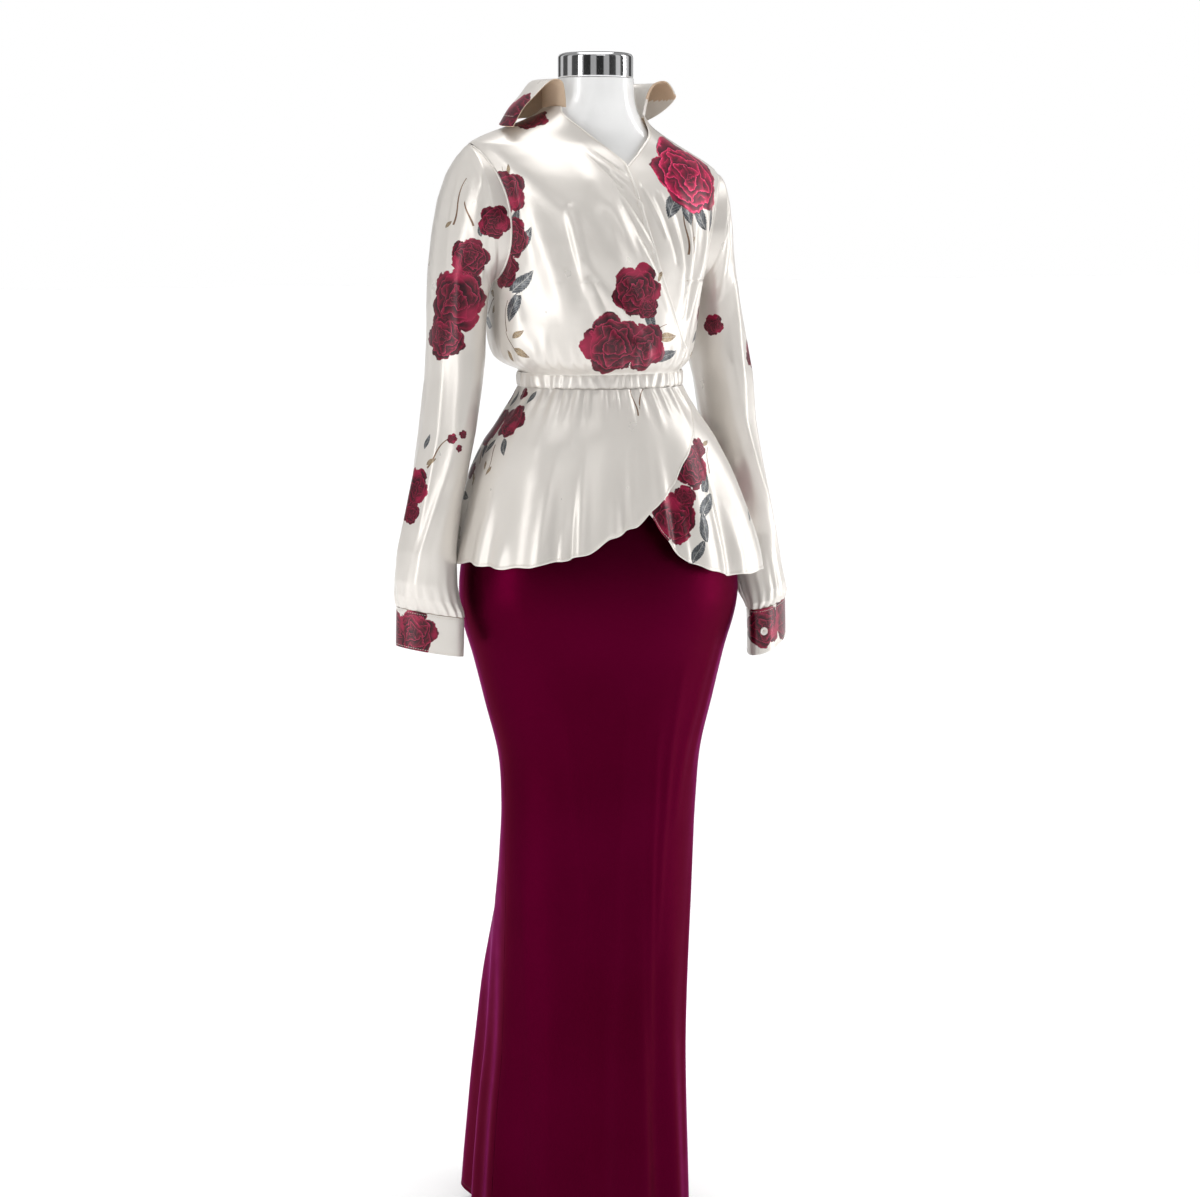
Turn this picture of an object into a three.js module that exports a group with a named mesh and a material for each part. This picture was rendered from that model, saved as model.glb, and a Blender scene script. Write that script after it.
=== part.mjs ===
// A satin wrap blouse with a peplum and a long mermaid skirt, worn by a limbless dress form on a stand.
// Millimetres. +Z is up, the form faces -Y and the wearer's left is +X.
// The origin is the middle of the base's underside.
// An angle round the body is 0 at the front, 90 at the wearer's left, 180 at the back and -90 at the right.
import * as THREE from "three";

// ---- Driving dimensions ----
const CLOTH = 1.5; // wall of every cloth piece
const CASING = 3; // wall of the blouse's waist casing, with elastic inside
const SKIRT_BAND_WALL = 2.2;
const SEAM = 0.5; // gap between two pieces that are sewn together
const LAP = 4.2; // how far the upper front lies out from the lower front
const WAIST_LAP = 2.9; // the same where both are caught in the waist seam
const LAP_EASE = 22; // degrees from the side seam over which the upper front rises to its full lap
const LAP_FOOT = 25; // height above the waist over which the lap grows
const LAP_HEAD = 28; // height below the neck edge over which it closes again
const PEPLUM_LAP_HEAD = [1150, 1175]; // heights between which the peplum's lap closes
const LAP_ANGLE = 60; // where each front of the peplum runs out at the waist, from the middle of the front

const NECK_EDGE_Z = 1518;
const WAIST_Z = 1190;
const WAIST_BAND_H = 17;
const WAIST_BAND_SAG = 3;
const WAIST_BAND_LIFT = 0.9;
const WAIST_BAND_CROWN = 0.6;
const SKIRT_TOP_Z = 1165;
const SKIRT_BAND_H = 25;
const SKIRT_HEM_Z = 28;

const ARMHOLE_Z = 1383;
const ARMHOLE_HIGH = 78; // half its height
const ARMHOLE_DEEP = 55; // half its depth, front to back
const ARMHOLE_EASE = 1.2; // how far the sleeve's seam lies inside the armhole, before and behind
const ARMHOLE_TOP_EASE = 1.8; // and above and below

const COLLAR_END = 57; // the collar's ends are this far round from the front
const COLLAR_BACK = 0.35; // share of each half that keeps the outline of the back

const CUFF_OVERLAP = 26; // degrees
const CUFF_LIFT = 2.2; // how far the overlap's upper end lies out
const CUFF_LIFT_END = 4; // degrees from the overlap's end to where the lift starts to fall
const CUFF_LIFT_FALL = 30; // degrees in which it falls
const RIGHT_CUFF_OPEN = 95; // angle of the overlap's upper end
const LEFT_CUFF_OPEN = 190;

const BUTTON_R = 5.5;
const BUTTON_H = 2.6;
const BUTTON_GAP = 0.3;

const BASE_R = 165;
const BASE_H = 8;
const BASE_EDGE = 3;
const POLE_R = 12.5;
const FORM_FOOT_Z = 800;
const NECK_TOP_Z = 1560;
const NECK_X = -1;
const NECK_Y = 12;
const CAP_R = 48;
const CAP_H = 32;
const REST_GAP = 0.3; // between two hard pieces that stand on each other

const SHOULDER_TILT = 0.094; // the wearer's left shoulder hangs lower, by this share of the distance across
const TILT_FOOT = [1290, 1440]; // heights between which the tilt comes in
const TILT_HEAD = [1505, 1550]; // and goes out

const BODICE_R = 118; // mean radius, to turn degrees round the bodice into mm
const PEPLUM_R = 109; // at the waist, for its side seams
const SKIRT_R = 112;
const RIDGE_END = 0.45; // height of a ridge at its ends, as a share of its height in the middle
const FOLD_CLEAR = 13; // degrees from a side edge over which the bodice's folds die out
const FOLD_FOOT = [1192, 1216]; // heights between which they come in above the waist
const FOLD_HEAD = [1425, 1465]; // and go out below the shoulders
const FLUTE_TOP_Z = 1165; // the peplum's flutes start here
const FLUTE_FULL_Z = 940; // and stand out fully here
const SKIRT_FOLD_FULL_Z = 60; // the skirt's folds are deepest here
const SKIRT_FOLD_GROWTH = 1.2; // how late they open, as a power
const SLEEVE_FOLD_EASE = 2; // sections in which a sleeve's fold comes and goes

const SLEEVE_COLUMNS = 18;
const CUFF_COLUMNS = 26;
const BAND_COLUMNS = 40;
const SKIRT_BAND_COLUMNS = 36;
const FORM_COLUMNS = 24;
const BUTTON_COLUMNS = 12;
const CAP_COLUMNS = 28;
const POLE_COLUMNS = 24;
const BASE_COLUMNS = 40;
const NORMAL_STEP = 1 / 4000; // share of a wall's span between the points that give its normals
const RAD = Math.PI / 180;

// ---- Tables ----
// A table names its columns once. It has one row for each section, edge point or fold.
function table(columns, ...rows) {
  const names = columns.split(" ");
  return rows.map((row) => Object.fromEntries(names.map((name, i) => [name, row[i]])));
}

// Sections across the body: half width, depth before and behind the centre, the centre, and how square they are.
const BLOUSE = table(
  "z side front back x y square",
  [1189, 108, 84, 82, 0, 0, 2.1],
  [1192, 108.6, 84.5, 82.6, 0, 0, 2.1],
  [1195, 112.5, 88, 88, -1, 1, 2.1],
  [1200, 120, 94.5, 97, -4, 3, 2.1],
  [1209, 128, 102, 107, -7, 6, 2.1],
  [1235, 134, 109, 112, -8, 8, 2.15],
  [1283, 138, 114, 107, -5, 10, 2.2],
  [1340, 145, 116, 102, -1, 12, 2.25],
  [1388, 156, 108, 98, 1, 15, 2.3],
  [1420, 165, 97, 92, 1, 18, 2.3],
  [1445, 172, 83, 82, 1, 20, 2.25],
  [1460, 171, 73, 73, 1, 22, 2.2],
  [1470, 158, 66, 66, 1, 23, 2.15],
  [1482, 133, 61, 60, 0, 23, 2.1],
  [1496, 101, 58, 55, 0, 22, 2.05],
  [1508, 79, 57, 52, -1, 20, 2],
  [1519, 67, 56, 51, -1, 18, 2],
);
const PEPLUM = table(
  "z side front back x y square",
  [915, 198, 153, 151, -3, 2, 2.1],
  [945, 195, 150, 149, -3, 2, 2.1],
  [1000, 184, 141, 141, -3, 2, 2.1],
  [1060, 170, 129, 129, -2, 2, 2.1],
  [1099, 154, 118, 117, -1, 1, 2.1],
  [1118, 142, 110, 108, 0, 0, 2.1],
  [1138, 128, 100, 98, 0, 0, 2.1],
  [1156, 115, 91, 89, 0, 0, 2.1],
  [1168, 109.5, 85.5, 83.5, 0, 0, 2.1],
  [1176, 109, 85, 83, 0, 0, 2.1],
);
const SKIRT = table(
  "z side front back x y square",
  [20, 141, 96, 268, 0, 14, 2],
  [125, 137, 92, 248, 0, 12, 2],
  [200, 134, 90, 240, 0, 12, 2],
  [270, 131, 88, 236, 0, 10, 2],
  [340, 131, 88, 220, 0, 10, 2],
  [410, 132, 90, 190, 0, 10, 2],
  [480, 133, 92, 160, 1, 10, 2],
  [550, 134, 94, 126, 2, 10, 2],
  [617, 135, 97, 108, 3, 8, 2],
  [685, 140, 101, 108, 4, 8, 2],
  [753, 157, 109, 115, 4, 8, 2],
  [821, 174, 119, 125, 4, 8, 2],
  [865, 187, 127, 133, 3, 5, 2],
  [901, 192, 130, 137, 2, 3, 2],
  [945, 187, 129, 136, 0, 2, 2],
  [1000, 173, 123, 127, 0, 2, 2],
  [1060, 150, 110, 112, 0, 1, 2],
  [1100, 128, 96, 97, 0, 0, 2],
  [1138, 112, 87, 86, 0, 0, 2.05],
  [1166, 108, 84, 82, 0, 0, 2.1],
);
const FORM = table(
  "z side front back x y square",
  [FORM_FOOT_Z, 118, 84, 90, 2, 6, 2],
  [806, 136, 92, 99, 2, 6, 2],
  [830, 156, 104, 113, 3, 6, 2],
  [870, 176, 116, 124, 3, 5, 2],
  [905, 182, 119, 127, 2, 3, 2],
  [950, 176, 118, 125, 0, 2, 2],
  [1000, 163, 112, 116, 0, 2, 2],
  [1060, 139, 100, 102, 0, 1, 2],
  [1100, 119, 89, 89, 0, 0, 2],
  [1138, 107, 81, 80, 0, 0, 2.05],
  [1166, 104.5, 80.5, 78.5, 0, 0, 2.1],
  [1181, 105.3, 81.3, 79.3, 0, 0, 2.1],
  [1192, 104.5, 80.5, 78.5, 0, 0, 2.1],
  [1215, 108, 83, 82, -1, 1, 2.1],
  [1260, 116, 93, 87, -2, 3, 2.1],
  [1320, 128, 106, 90, -1, 7, 2.1],
  [1370, 141, 102, 90, 0, 12, 2.2],
  [1410, 156, 90, 86, 1, 16, 2.2],
  [1440, 167, 76, 76, 1, 20, 2.2],
  [1454, 167, 68, 68, 1, 22, 2.15],
  [1464, 158, 62, 62, 1, 23, 2.1],
  [1476, 135, 57, 57, 0, 23, 2.1],
  [1490, 103, 54, 52, 0, 22, 2.05],
  [1502, 78, 52, 50, -1, 19, 2],
  [1514, 63, 50, 48, -1, 16, 2],
  [1532, 52, 49, 48, -1, 13, 2],
  [NECK_TOP_Z, 49, 48, 48, NECK_X, NECK_Y, 2],
);

// Front edge of the upper front, from the right of the neck to the left of the waist, and of the lower front.
const UPPER_EDGE = table(
  "z angle",
  [1190, 57],
  [1205, 53],
  [1225, 47],
  [1257, 36],
  [1295, 25],
  [1335, 16],
  [1400, 8.5],
  [1449, 6],
  [1462, -3.5],
  [1478, -20.5],
  [1490, -34.5],
  [1507, -54.5],
  [1518, -61],
);
const LOWER_EDGE = table(
  "z angle",
  [1190, -57],
  [1257, -36],
  [1335, -18],
  [1400, -8],
  [1435, -1],
  [1449, 6],
  [1470, 27],
  [1489, 44],
  [1507, 56],
  [1518, 61],
);

// Hems of the peplum, from each side seam to where the front runs out under the waist.
const UPPER_HEM = table(
  "angle z",
  [-90, 949],
  [-62, 954],
  [-48, 955],
  [-36, 966],
  [-24, 978],
  [-10, 998],
  [3, 1016],
  [16, 1045],
  [27, 1073],
  [38, 1100],
  [50, 1130],
  [60, 1158],
);
const LOWER_HEM = table(
  "angle z",
  [-60, 1158],
  [-50, 1130],
  [-38, 1100],
  [-20, 1060],
  [-8, 1036],
  [4, 1012],
  [10, 988],
  [20, 960],
  [28, 945],
  [40, 935],
  [64, 928],
  [90, 931],
);
const BACK_HEM = table("angle z", [90, 931], [135, 938], [180, 942], [225, 946], [270, 949]);

// Flutes of the peplum: the middle of each, how wide it is in degrees and how far out it stands at the hem.
const FLUTES = table(
  "angle wide out",
  [-80, 13, 4],
  [-52, 11, 16],
  [-25, 12, 13],
  [3, 11, 9],
  [32, 10, 13],
  [62, 13, 30],
  [101, 14, 2],
  [130, 13, 19],
  [160, 12, 16],
  [192, 13, 20],
  [224, 12, 16],
  [253, 12, 5],
);

// Soft folds of the bodice: a ridge from one point to another, with its breadth and height in mm.
const BODICE_FOLDS = table(
  "angle z toAngle toZ broad high",
  [-34, 1462, 22, 1262, 15, 4.5],
  [-52, 1440, 2, 1250, 16, 4],
  [-60, 1390, -30, 1235, 14, 3.5],
  [-75, 1300, -62, 1215, 12, 3],
  [-12, 1235, 20, 1212, 10, 3],
  [62, 1450, 50, 1225, 12, 4],
  [42, 1430, 38, 1270, 11, 3.5],
  [72, 1300, 66, 1215, 11, 3],
  [112, 1300, 118, 1215, 13, 4],
  [128, 1440, 150, 1230, 14, 4],
  [165, 1300, 168, 1212, 12, 4],
  [205, 1420, 192, 1225, 14, 4.5],
  [232, 1430, 226, 1222, 13, 3.5],
  [250, 1300, 246, 1212, 12, 4],
);

// Folds of the skirt, from a height down to the hem, where they are deepest. Negative ones are hollows.
const SKIRT_FOLDS = table(
  "angle top wide out",
  [-95, 580, 13, 18],
  [-55, 640, 11, 12],
  [-20, 720, 11, 10],
  [14, 660, 11, 13],
  [44, 580, 11, 10],
  [84, 540, 12, -10],
  [112, 580, 11, 20],
  [139, 640, 9, 26],
  [165, 620, 8, 30],
  [191, 580, 8, 32],
  [217, 640, 9, 28],
  [243, 560, 10, 20],
);

// Sections across each sleeve: the point farthest out, the point nearest the body and half the depth.
const RIGHT_SLEEVE = table(
  "outX outY outZ inX inY inZ deep",
  [174, 23, 1458, 147, 12, 1304, 57],
  [181, 25, 1448, 149, 14, 1299, 58],
  [192, 28, 1428, 150, 17, 1292, 57],
  [203, 31, 1400, 151, 21, 1283, 56],
  [211, 33, 1366, 151, 25, 1270, 54],
  [217, 34, 1325, 151, 28, 1253, 52],
  [221, 34, 1280, 151, 29, 1232, 51],
  [224, 33, 1232, 152, 28, 1205, 50],
  [229, 30, 1180, 158, 24, 1168, 48],
  [238, 26, 1120, 168, 18, 1116, 46],
  [248, 24, 1070, 181, 8, 1067, 45],
  [257, 23, 1020, 195, -2, 1016, 44],
  [267, 24, 970, 206, -12, 964, 42],
  [274, 24, 930, 207, -17, 922, 40],
  [277, 23, 912, 204, -19, 901, 36],
  [277, 21, 902, 200, -19.5, 889, 30],
  [276, 19.5, 895.5, 198.5, -18.5, 881, 25],
);
const LEFT_SLEEVE = table(
  "outX outY outZ inX inY inZ deep",
  [176, 23, 1458, 146, 12, 1304, 57],
  [180, 25, 1447, 147, 14, 1299, 58],
  [184, 28, 1425, 148, 17, 1292, 57],
  [188, 31, 1396, 148, 21, 1283, 56],
  [192, 33, 1362, 148, 25, 1270, 54],
  [198, 34, 1322, 148, 28, 1253, 52],
  [206, 34, 1280, 148, 29, 1232, 51],
  [217, 33, 1230, 150, 28, 1205, 50],
  [227, 31, 1182, 157, 25, 1168, 48],
  [231, 29, 1120, 166, 22, 1116, 46],
  [235, 29, 1070, 180, 16, 1067, 45],
  [240, 31, 1020, 195, 8, 1016, 41],
  [248, 34, 970, 205, -4, 962, 38],
  [259, 38, 925, 210, -20, 915, 35],
  [270, 38, 898, 212, -31, 887, 32],
  [279, 36, 884, 213, -34, 874, 27],
  [281, 34, 875.5, 213, -33, 866, 23],
);
const RIGHT_CUFF = table(
  "outX outY outZ inX inY inZ deep",
  [276, 19.5, 894.8, 198.5, -18.5, 880.3, 25],
  [276.5, 19.5, 878, 198.5, -18.5, 864, 25],
  [277, 19.5, 861, 199, -18.5, 847, 25.5],
  [277.5, 19, 845, 199.5, -18, 830.5, 26],
);
const LEFT_CUFF = table(
  "outX outY outZ inX inY inZ deep",
  [281, 34, 875, 213, -33, 865.5, 23],
  [281.5, 34, 858, 214, -33, 845, 23],
  [281.5, 33.5, 841, 215, -32.5, 824, 23.5],
  [281, 33, 823, 216, -32, 803, 24],
);
// Folds along a sleeve, between two of its sections, at an angle round it from the outside to the back.
const SLEEVE_FOLDS = table(
  "angle from to wide out",
  [-62, 2, 9, 24, 4],
  [35, 1, 8, 22, 3.5],
  [-110, 7, 14, 26, 4],
  [75, 6, 13, 24, 4],
  [-20, 10, 15, 22, 3],
  [150, 3, 9, 24, 3],
);

// The collar's outline from its seam over the roll to its loose edge, at the back and at its two ends.
const COLLAR = table(
  "backOut backUp rightOut rightUp leftOut leftUp",
  [0, 0, 0, 0, 0, 0],
  [-1, 14, 1, 13, 3, 12],
  [0, 29, 4, 28, 7, 24],
  [4, 36, 9, 36, 13, 33],
  [10, 37, 18, 37, 21, 37],
  [15, 30, 30, 26, 29, 37],
  [19, 10, 50, -2, 35, 31],
  [22, -12, 72, -34, 40, 22],
);

// Outline of a button, as shares of its radius and height.
const BUTTON_OUTLINE = table(
  "r up",
  [0, 0],
  [0.9, 0],
  [1, 0.35],
  [0.92, 1],
  [0.6, 0.8],
  [0, 0.75],
);

// Heights of the rows of points, closest where an outline bends.
const BODICE_ROWS = [
  WAIST_Z + SEAM, 1193.5, 1198, 1206, 1218, 1240, 1268, 1290, 1304.9, 1306.5, 1311, 1320, 1336,
  1360, 1386, 1410, 1430, 1444, 1453, 1458.5, 1461.1, 1468, 1478, 1490, 1504, NECK_EDGE_Z,
];
const PEPLUM_ROWS = [0, 0.08, 0.2, 0.38, 0.58, 0.8, 1]; // shares of the way from its top to its hem
const SKIRT_ROWS = [
  SKIRT_HEM_Z, 90, 160, 230, 310, 390, 470, 545, 617, 690, 760, 830, 880, 925, 980, 1040, 1095,
  SKIRT_TOP_Z - SKIRT_BAND_H,
];

// ---- Curves ----
function steps(from, to, count) {
  return Array.from({ length: count + 1 }, (_, i) => from + ((to - from) * i) / count);
}

function ease(from, to, x) {
  const t = Math.min(Math.max((x - from) / (to - from), 0), 1);
  return t * t * (3 - 2 * t);
}

function bell(x, wide) {
  return Math.exp(-((x / wide) ** 2));
}

// The angle from one direction to another, within half a turn.
function turnBetween(from, to) {
  return ((((to - from) % 360) + 540) % 360) - 180;
}

// A smooth curve through one column of a table, read at x in the column "by".
function curve(rows, by, key, x) {
  let i = 0;
  while (i < rows.length - 2 && x > rows[i + 1][by]) i += 1;
  const slope = (k) => {
    const low = rows[Math.max(k - 1, 0)];
    const high = rows[Math.min(k + 1, rows.length - 1)];
    return (high[key] - low[key]) / (high[by] - low[by]);
  };
  const span = rows[i + 1][by] - rows[i][by];
  const t = Math.min(Math.max((x - rows[i][by]) / span, 0), 1);
  const start = rows[i][key] * (2 * t ** 3 - 3 * t ** 2 + 1) + slope(i) * span * (t ** 3 - 2 * t ** 2 + t);
  const end = rows[i + 1][key] * (3 * t ** 2 - 2 * t ** 3) + slope(i + 1) * span * (t ** 3 - t ** 2);
  return start + end;
}

function section(rows, z) {
  const read = (key) => curve(rows, "z", key, z);
  return {
    side: read("side"),
    front: read("front"),
    back: read("back"),
    x: read("x"),
    y: read("y"),
    square: read("square"),
  };
}

// A point on a tube, at an angle round it and a height, moved out by "out" in its level plane.
function onTube(rows, angle, z, out = 0) {
  const s = section(rows, z);
  const sin = Math.sin(angle * RAD);
  const cos = Math.cos(angle * RAD);
  const depth = cos > 0 ? s.front : s.back;
  const r = (Math.abs(sin / s.side) ** s.square + Math.abs(cos / depth) ** s.square) ** (-1 / s.square);
  return new THREE.Vector3(s.x + (r + out) * sin, s.y - (r + out) * cos, z);
}

// The slope of the shoulders, which every piece follows.
function tilted(p) {
  const share = ease(...TILT_FOOT, p.z) * (1 - ease(...TILT_HEAD, p.z));
  return new THREE.Vector3(p.x, p.y, p.z - SHOULDER_TILT * p.x * share);
}

// ---- Solids ----
function solid(points, faces) {
  const geometry = new THREE.BufferGeometry();
  const placed = points.map(tilted);
  let volume = 0;
  for (const [a, b, c] of faces) volume += placed[a].dot(placed[b].clone().cross(placed[c]));
  const index = volume > 0 ? faces.flat() : faces.flatMap(([a, b, c]) => [a, c, b]);
  const values = placed.flatMap((p) => [p.x, p.y, p.z]);
  geometry.setAttribute("position", new THREE.Float32BufferAttribute(values, 3));
  geometry.setIndex(index);
  geometry.computeVertexNormals();
  return geometry;
}

function quad(a, b, c, d) {
  return [
    [a, b, c],
    [a, c, d],
  ];
}

// A wall on a surface. Its outer face lies "lift" out from the surface, and its inner face a wall's thickness in.
// "side" is 1 where the surface faces out as u turns left and v rises, and -1 where v falls.
function wall({ us, vs, surface, lift = () => 0, thick = CLOTH, side = 1, round = false }) {
  const du = (us[us.length - 1] - us[0]) * NORMAL_STEP;
  const dv = (vs[vs.length - 1] - vs[0]) * NORMAL_STEP;
  const normal = (u, v) => {
    const lowV = Math.max(v - dv, Math.min(vs[0], vs[vs.length - 1]));
    const highV = Math.min(v + dv, Math.max(vs[0], vs[vs.length - 1]));
    const across = surface(u + du, v).sub(surface(u - du, v));
    const along = surface(u, highV).sub(surface(u, lowV));
    return across.cross(along).normalize().multiplyScalar(side);
  };
  const columns = round ? us.length - 1 : us.length;
  const layer = (depth) =>
    vs.flatMap((v) =>
      us.slice(0, columns).map((u) => surface(u, v).addScaledVector(normal(u, v), lift(u, v) - depth)),
    );
  const points = [...layer(0), ...layer(thick)];
  const rows = vs.length;
  const outer = (i, j) => j * columns + (i % columns);
  const inner = (i, j) => rows * columns + outer(i, j);
  const faces = [];
  for (let i = 0; i < us.length - 1; i += 1) {
    for (let j = 0; j < rows - 1; j += 1) {
      faces.push(...quad(outer(i, j), outer(i + 1, j), outer(i + 1, j + 1), outer(i, j + 1)));
      faces.push(...quad(inner(i, j), inner(i, j + 1), inner(i + 1, j + 1), inner(i + 1, j)));
    }
    faces.push(...quad(outer(i, 0), inner(i, 0), inner(i + 1, 0), outer(i + 1, 0)));
    faces.push(...quad(outer(i, rows - 1), outer(i + 1, rows - 1), inner(i + 1, rows - 1), inner(i, rows - 1)));
  }
  for (let j = 0; j < rows - 1 && !round; j += 1) {
    const last = us.length - 1;
    faces.push(...quad(outer(0, j), outer(0, j + 1), inner(0, j + 1), inner(0, j)));
    faces.push(...quad(outer(last, j), inner(last, j), inner(last, j + 1), outer(last, j + 1)));
  }
  return solid(points, faces);
}

// A solid filled from ring to ring, with a flat face at each end.
function filled(rings) {
  const count = rings[0].length;
  const points = rings.flat();
  const faces = [];
  for (let j = 0; j < rings.length - 1; j += 1) {
    for (let i = 0; i < count; i += 1) {
      const next = (i + 1) % count;
      const low = j * count;
      faces.push(...quad(low + i, low + next, low + count + next, low + count + i));
    }
  }
  const top = (rings.length - 1) * count;
  for (let i = 1; i < count - 1; i += 1) {
    faces.push([0, i + 1, i]);
    faces.push([top, top + i, top + i + 1]);
  }
  return solid(points, faces);
}

// ---- Bodice ----
function seamAngle(r) {
  return SEAM / 2 / r / RAD;
}

// How far the side edge of a bodice panel is from the side, in degrees: on the armhole, or else on a seam.
function sideEdge(z, sign) {
  const s = section(BLOUSE, z);
  const share = (z - ARMHOLE_Z) / ARMHOLE_HIGH;
  const deep = Math.abs(share) < 1 ? ARMHOLE_DEEP * Math.sqrt(1 - share ** 2) : 0;
  const depth = sign > 0 ? s.front : s.back;
  const reach = s.side * (1 - (deep / depth) ** s.square) ** (1 / s.square);
  const open = Math.atan2(deep, reach) / RAD;
  return Math.max(open, seamAngle(s.side));
}

function bodiceFold(angle, z) {
  const turn = ((angle % 360) + 360) % 360;
  const fromSide = Math.min(Math.abs(turn - 90), Math.abs(turn - 270));
  const sign = turn < 90 || turn > 270 ? 1 : -1;
  const seam = ease(0, FOLD_CLEAR, fromSide - sideEdge(z, sign));
  const calm = seam * ease(...FOLD_FOOT, z) * (1 - ease(...FOLD_HEAD, z));
  if (calm === 0) return 0;
  const mm = RAD * BODICE_R;
  let out = 0;
  for (const fold of BODICE_FOLDS) {
    const run = new THREE.Vector2((fold.toAngle - fold.angle) * mm, fold.toZ - fold.z);
    const from = new THREE.Vector2(turnBetween(fold.angle, angle) * mm, z - fold.z);
    const share = Math.min(Math.max(from.dot(run) / run.lengthSq(), 0), 1);
    const away = from.addScaledVector(run, -share).length();
    const high = RIDGE_END + (1 - RIDGE_END) * 4 * share * (1 - share);
    out += fold.high * high * bell(away, fold.broad);
  }
  return out * calm;
}

function bodice(angle, z) {
  return onTube(BLOUSE, angle, z, bodiceFold(angle, z));
}

function bodicePanel(near, far, columns, lift = () => 0) {
  const angleAt = (u, z) => near(z) + (far(z) - near(z)) * u;
  return wall({
    us: steps(0, 1, columns),
    vs: BODICE_ROWS,
    surface: (u, z) => bodice(angleAt(u, z), z),
    lift: (u, z) => lift(angleAt(u, z), z),
  });
}

const rightSide = (z) => -90 + sideEdge(z, 1);
const leftSide = (z) => 90 - sideEdge(z, 1);
const upperEdge = (z) => curve(UPPER_EDGE, "z", "angle", z);
const lowerEdge = (z) => curve(LOWER_EDGE, "z", "angle", z);

function lapOut(angle, z) {
  const loose = ease(WAIST_Z, WAIST_Z + LAP_FOOT, z) * (1 - ease(NECK_EDGE_Z - LAP_HEAD, NECK_EDGE_Z, z));
  const full = WAIST_LAP + (LAP - WAIST_LAP) * loose;
  return full * ease(0, LAP_EASE, angle - rightSide(z));
}

const upperFront = bodicePanel(rightSide, upperEdge, 16, lapOut);
const lowerFront = bodicePanel(lowerEdge, leftSide, 14);
const back = bodicePanel(
  (z) => 90 + sideEdge(z, -1),
  (z) => 270 - sideEdge(z, -1),
  15,
);

// ---- Collar and waist casing ----
function collarAt(u, v) {
  const angle = 180 + u * (180 - COLLAR_END);
  const low = Math.min(Math.floor(v), COLLAR.length - 2);
  const t = v - low;
  const read = (key) => COLLAR[low][key] + (COLLAR[low + 1][key] - COLLAR[low][key]) * t;
  const end = u > 0 ? "right" : "left";
  const share = ease(COLLAR_BACK, 1, Math.abs(u));
  const out = read("backOut") + (read(`${end}Out`) - read("backOut")) * share;
  const up = read("backUp") + (read(`${end}Up`) - read("backUp")) * share;
  const p = onTube(BLOUSE, angle, NECK_EDGE_Z, out);
  p.z += SEAM + up;
  return p;
}
const collar = wall({
  us: steps(-1, 1, 18),
  vs: COLLAR.map((_, i) => i),
  surface: collarAt,
});

function sag(angle) {
  return WAIST_BAND_SAG * (1 - Math.cos(angle * RAD)) * 0.5 - WAIST_BAND_SAG;
}
const blouseWaistband = wall({
  us: steps(-180, 180, BAND_COLUMNS),
  vs: [0, 0.5, 1],
  surface: (angle, v) => onTube(BLOUSE, angle, WAIST_Z).setZ(WAIST_Z - (WAIST_BAND_H - sag(angle)) * (1 - v)),
  lift: (angle, v) => WAIST_BAND_LIFT + WAIST_BAND_CROWN * v * (1 - v),
  thick: CASING,
  round: true,
});

// ---- Peplum ----
function peplumTop(angle) {
  return WAIST_Z - WAIST_BAND_H - SEAM + sag(angle);
}

function flute(angle) {
  let out = 0;
  for (const f of FLUTES) out += f.out * bell(turnBetween(f.angle, angle), f.wide);
  return out;
}

function peplum(angle, z) {
  return onTube(PEPLUM, angle, z, flute(angle) * ease(FLUTE_TOP_Z, FLUTE_FULL_Z, z));
}

function peplumPanel(from, to, columns, hem, lift = () => 0) {
  const zAt = (angle, v) => peplumTop(angle) + (curve(hem, "angle", "z", angle) - peplumTop(angle)) * v;
  return wall({
    us: steps(from, to, columns),
    vs: PEPLUM_ROWS,
    surface: (angle, v) => peplum(angle, zAt(angle, v)),
    lift: (angle, v) => lift(angle, zAt(angle, v)),
    side: -1,
  });
}

// The upper peplum lies out from the lower one, and closer where both are caught in the waist seam.
function peplumLap(angle, z) {
  const full = LAP - (LAP - WAIST_LAP) * ease(...PEPLUM_LAP_HEAD, z);
  return full * ease(0, LAP_EASE, angle + 90);
}

const PEPLUM_GAP = seamAngle(PEPLUM_R);
const peplumUpper = peplumPanel(-90 + PEPLUM_GAP, LAP_ANGLE, 25, UPPER_HEM, peplumLap);
const peplumLower = peplumPanel(-LAP_ANGLE, 90 - PEPLUM_GAP, 25, LOWER_HEM);
const peplumBack = peplumPanel(90 + PEPLUM_GAP, 270 - PEPLUM_GAP, 27, BACK_HEM);

// ---- Sleeves and cuffs ----
function ringPoint(row, angle, sign, out = 0) {
  const outer = new THREE.Vector3(row.outX * sign, row.outY, row.outZ);
  const inner = new THREE.Vector3(row.inX * sign, row.inY, row.inZ);
  const middle = outer.clone().add(inner).multiplyScalar(0.5);
  const half = outer.clone().sub(middle);
  const across = half.clone().normalize();
  const deep = new THREE.Vector3(0, 1, 0);
  deep.addScaledVector(across, -deep.dot(across)).normalize();
  middle.addScaledVector(across, (half.length() + out) * Math.cos(angle * RAD));
  return middle.addScaledVector(deep, (row.deep + out) * Math.sin(angle * RAD));
}

// The sleeve's seam, a hair inside the armhole.
function armholePoint(angle, sign) {
  const z = ARMHOLE_Z + (ARMHOLE_HIGH - ARMHOLE_TOP_EASE) * Math.cos(angle * RAD);
  const s = section(BLOUSE, z);
  const deep = (ARMHOLE_DEEP - ARMHOLE_EASE) * Math.sin(angle * RAD);
  const depth = deep < 0 ? s.front : s.back;
  const reach = s.side * (1 - (Math.abs(deep) / depth) ** s.square) ** (1 / s.square);
  return new THREE.Vector3(s.x + sign * reach, s.y + deep, z);
}

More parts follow.
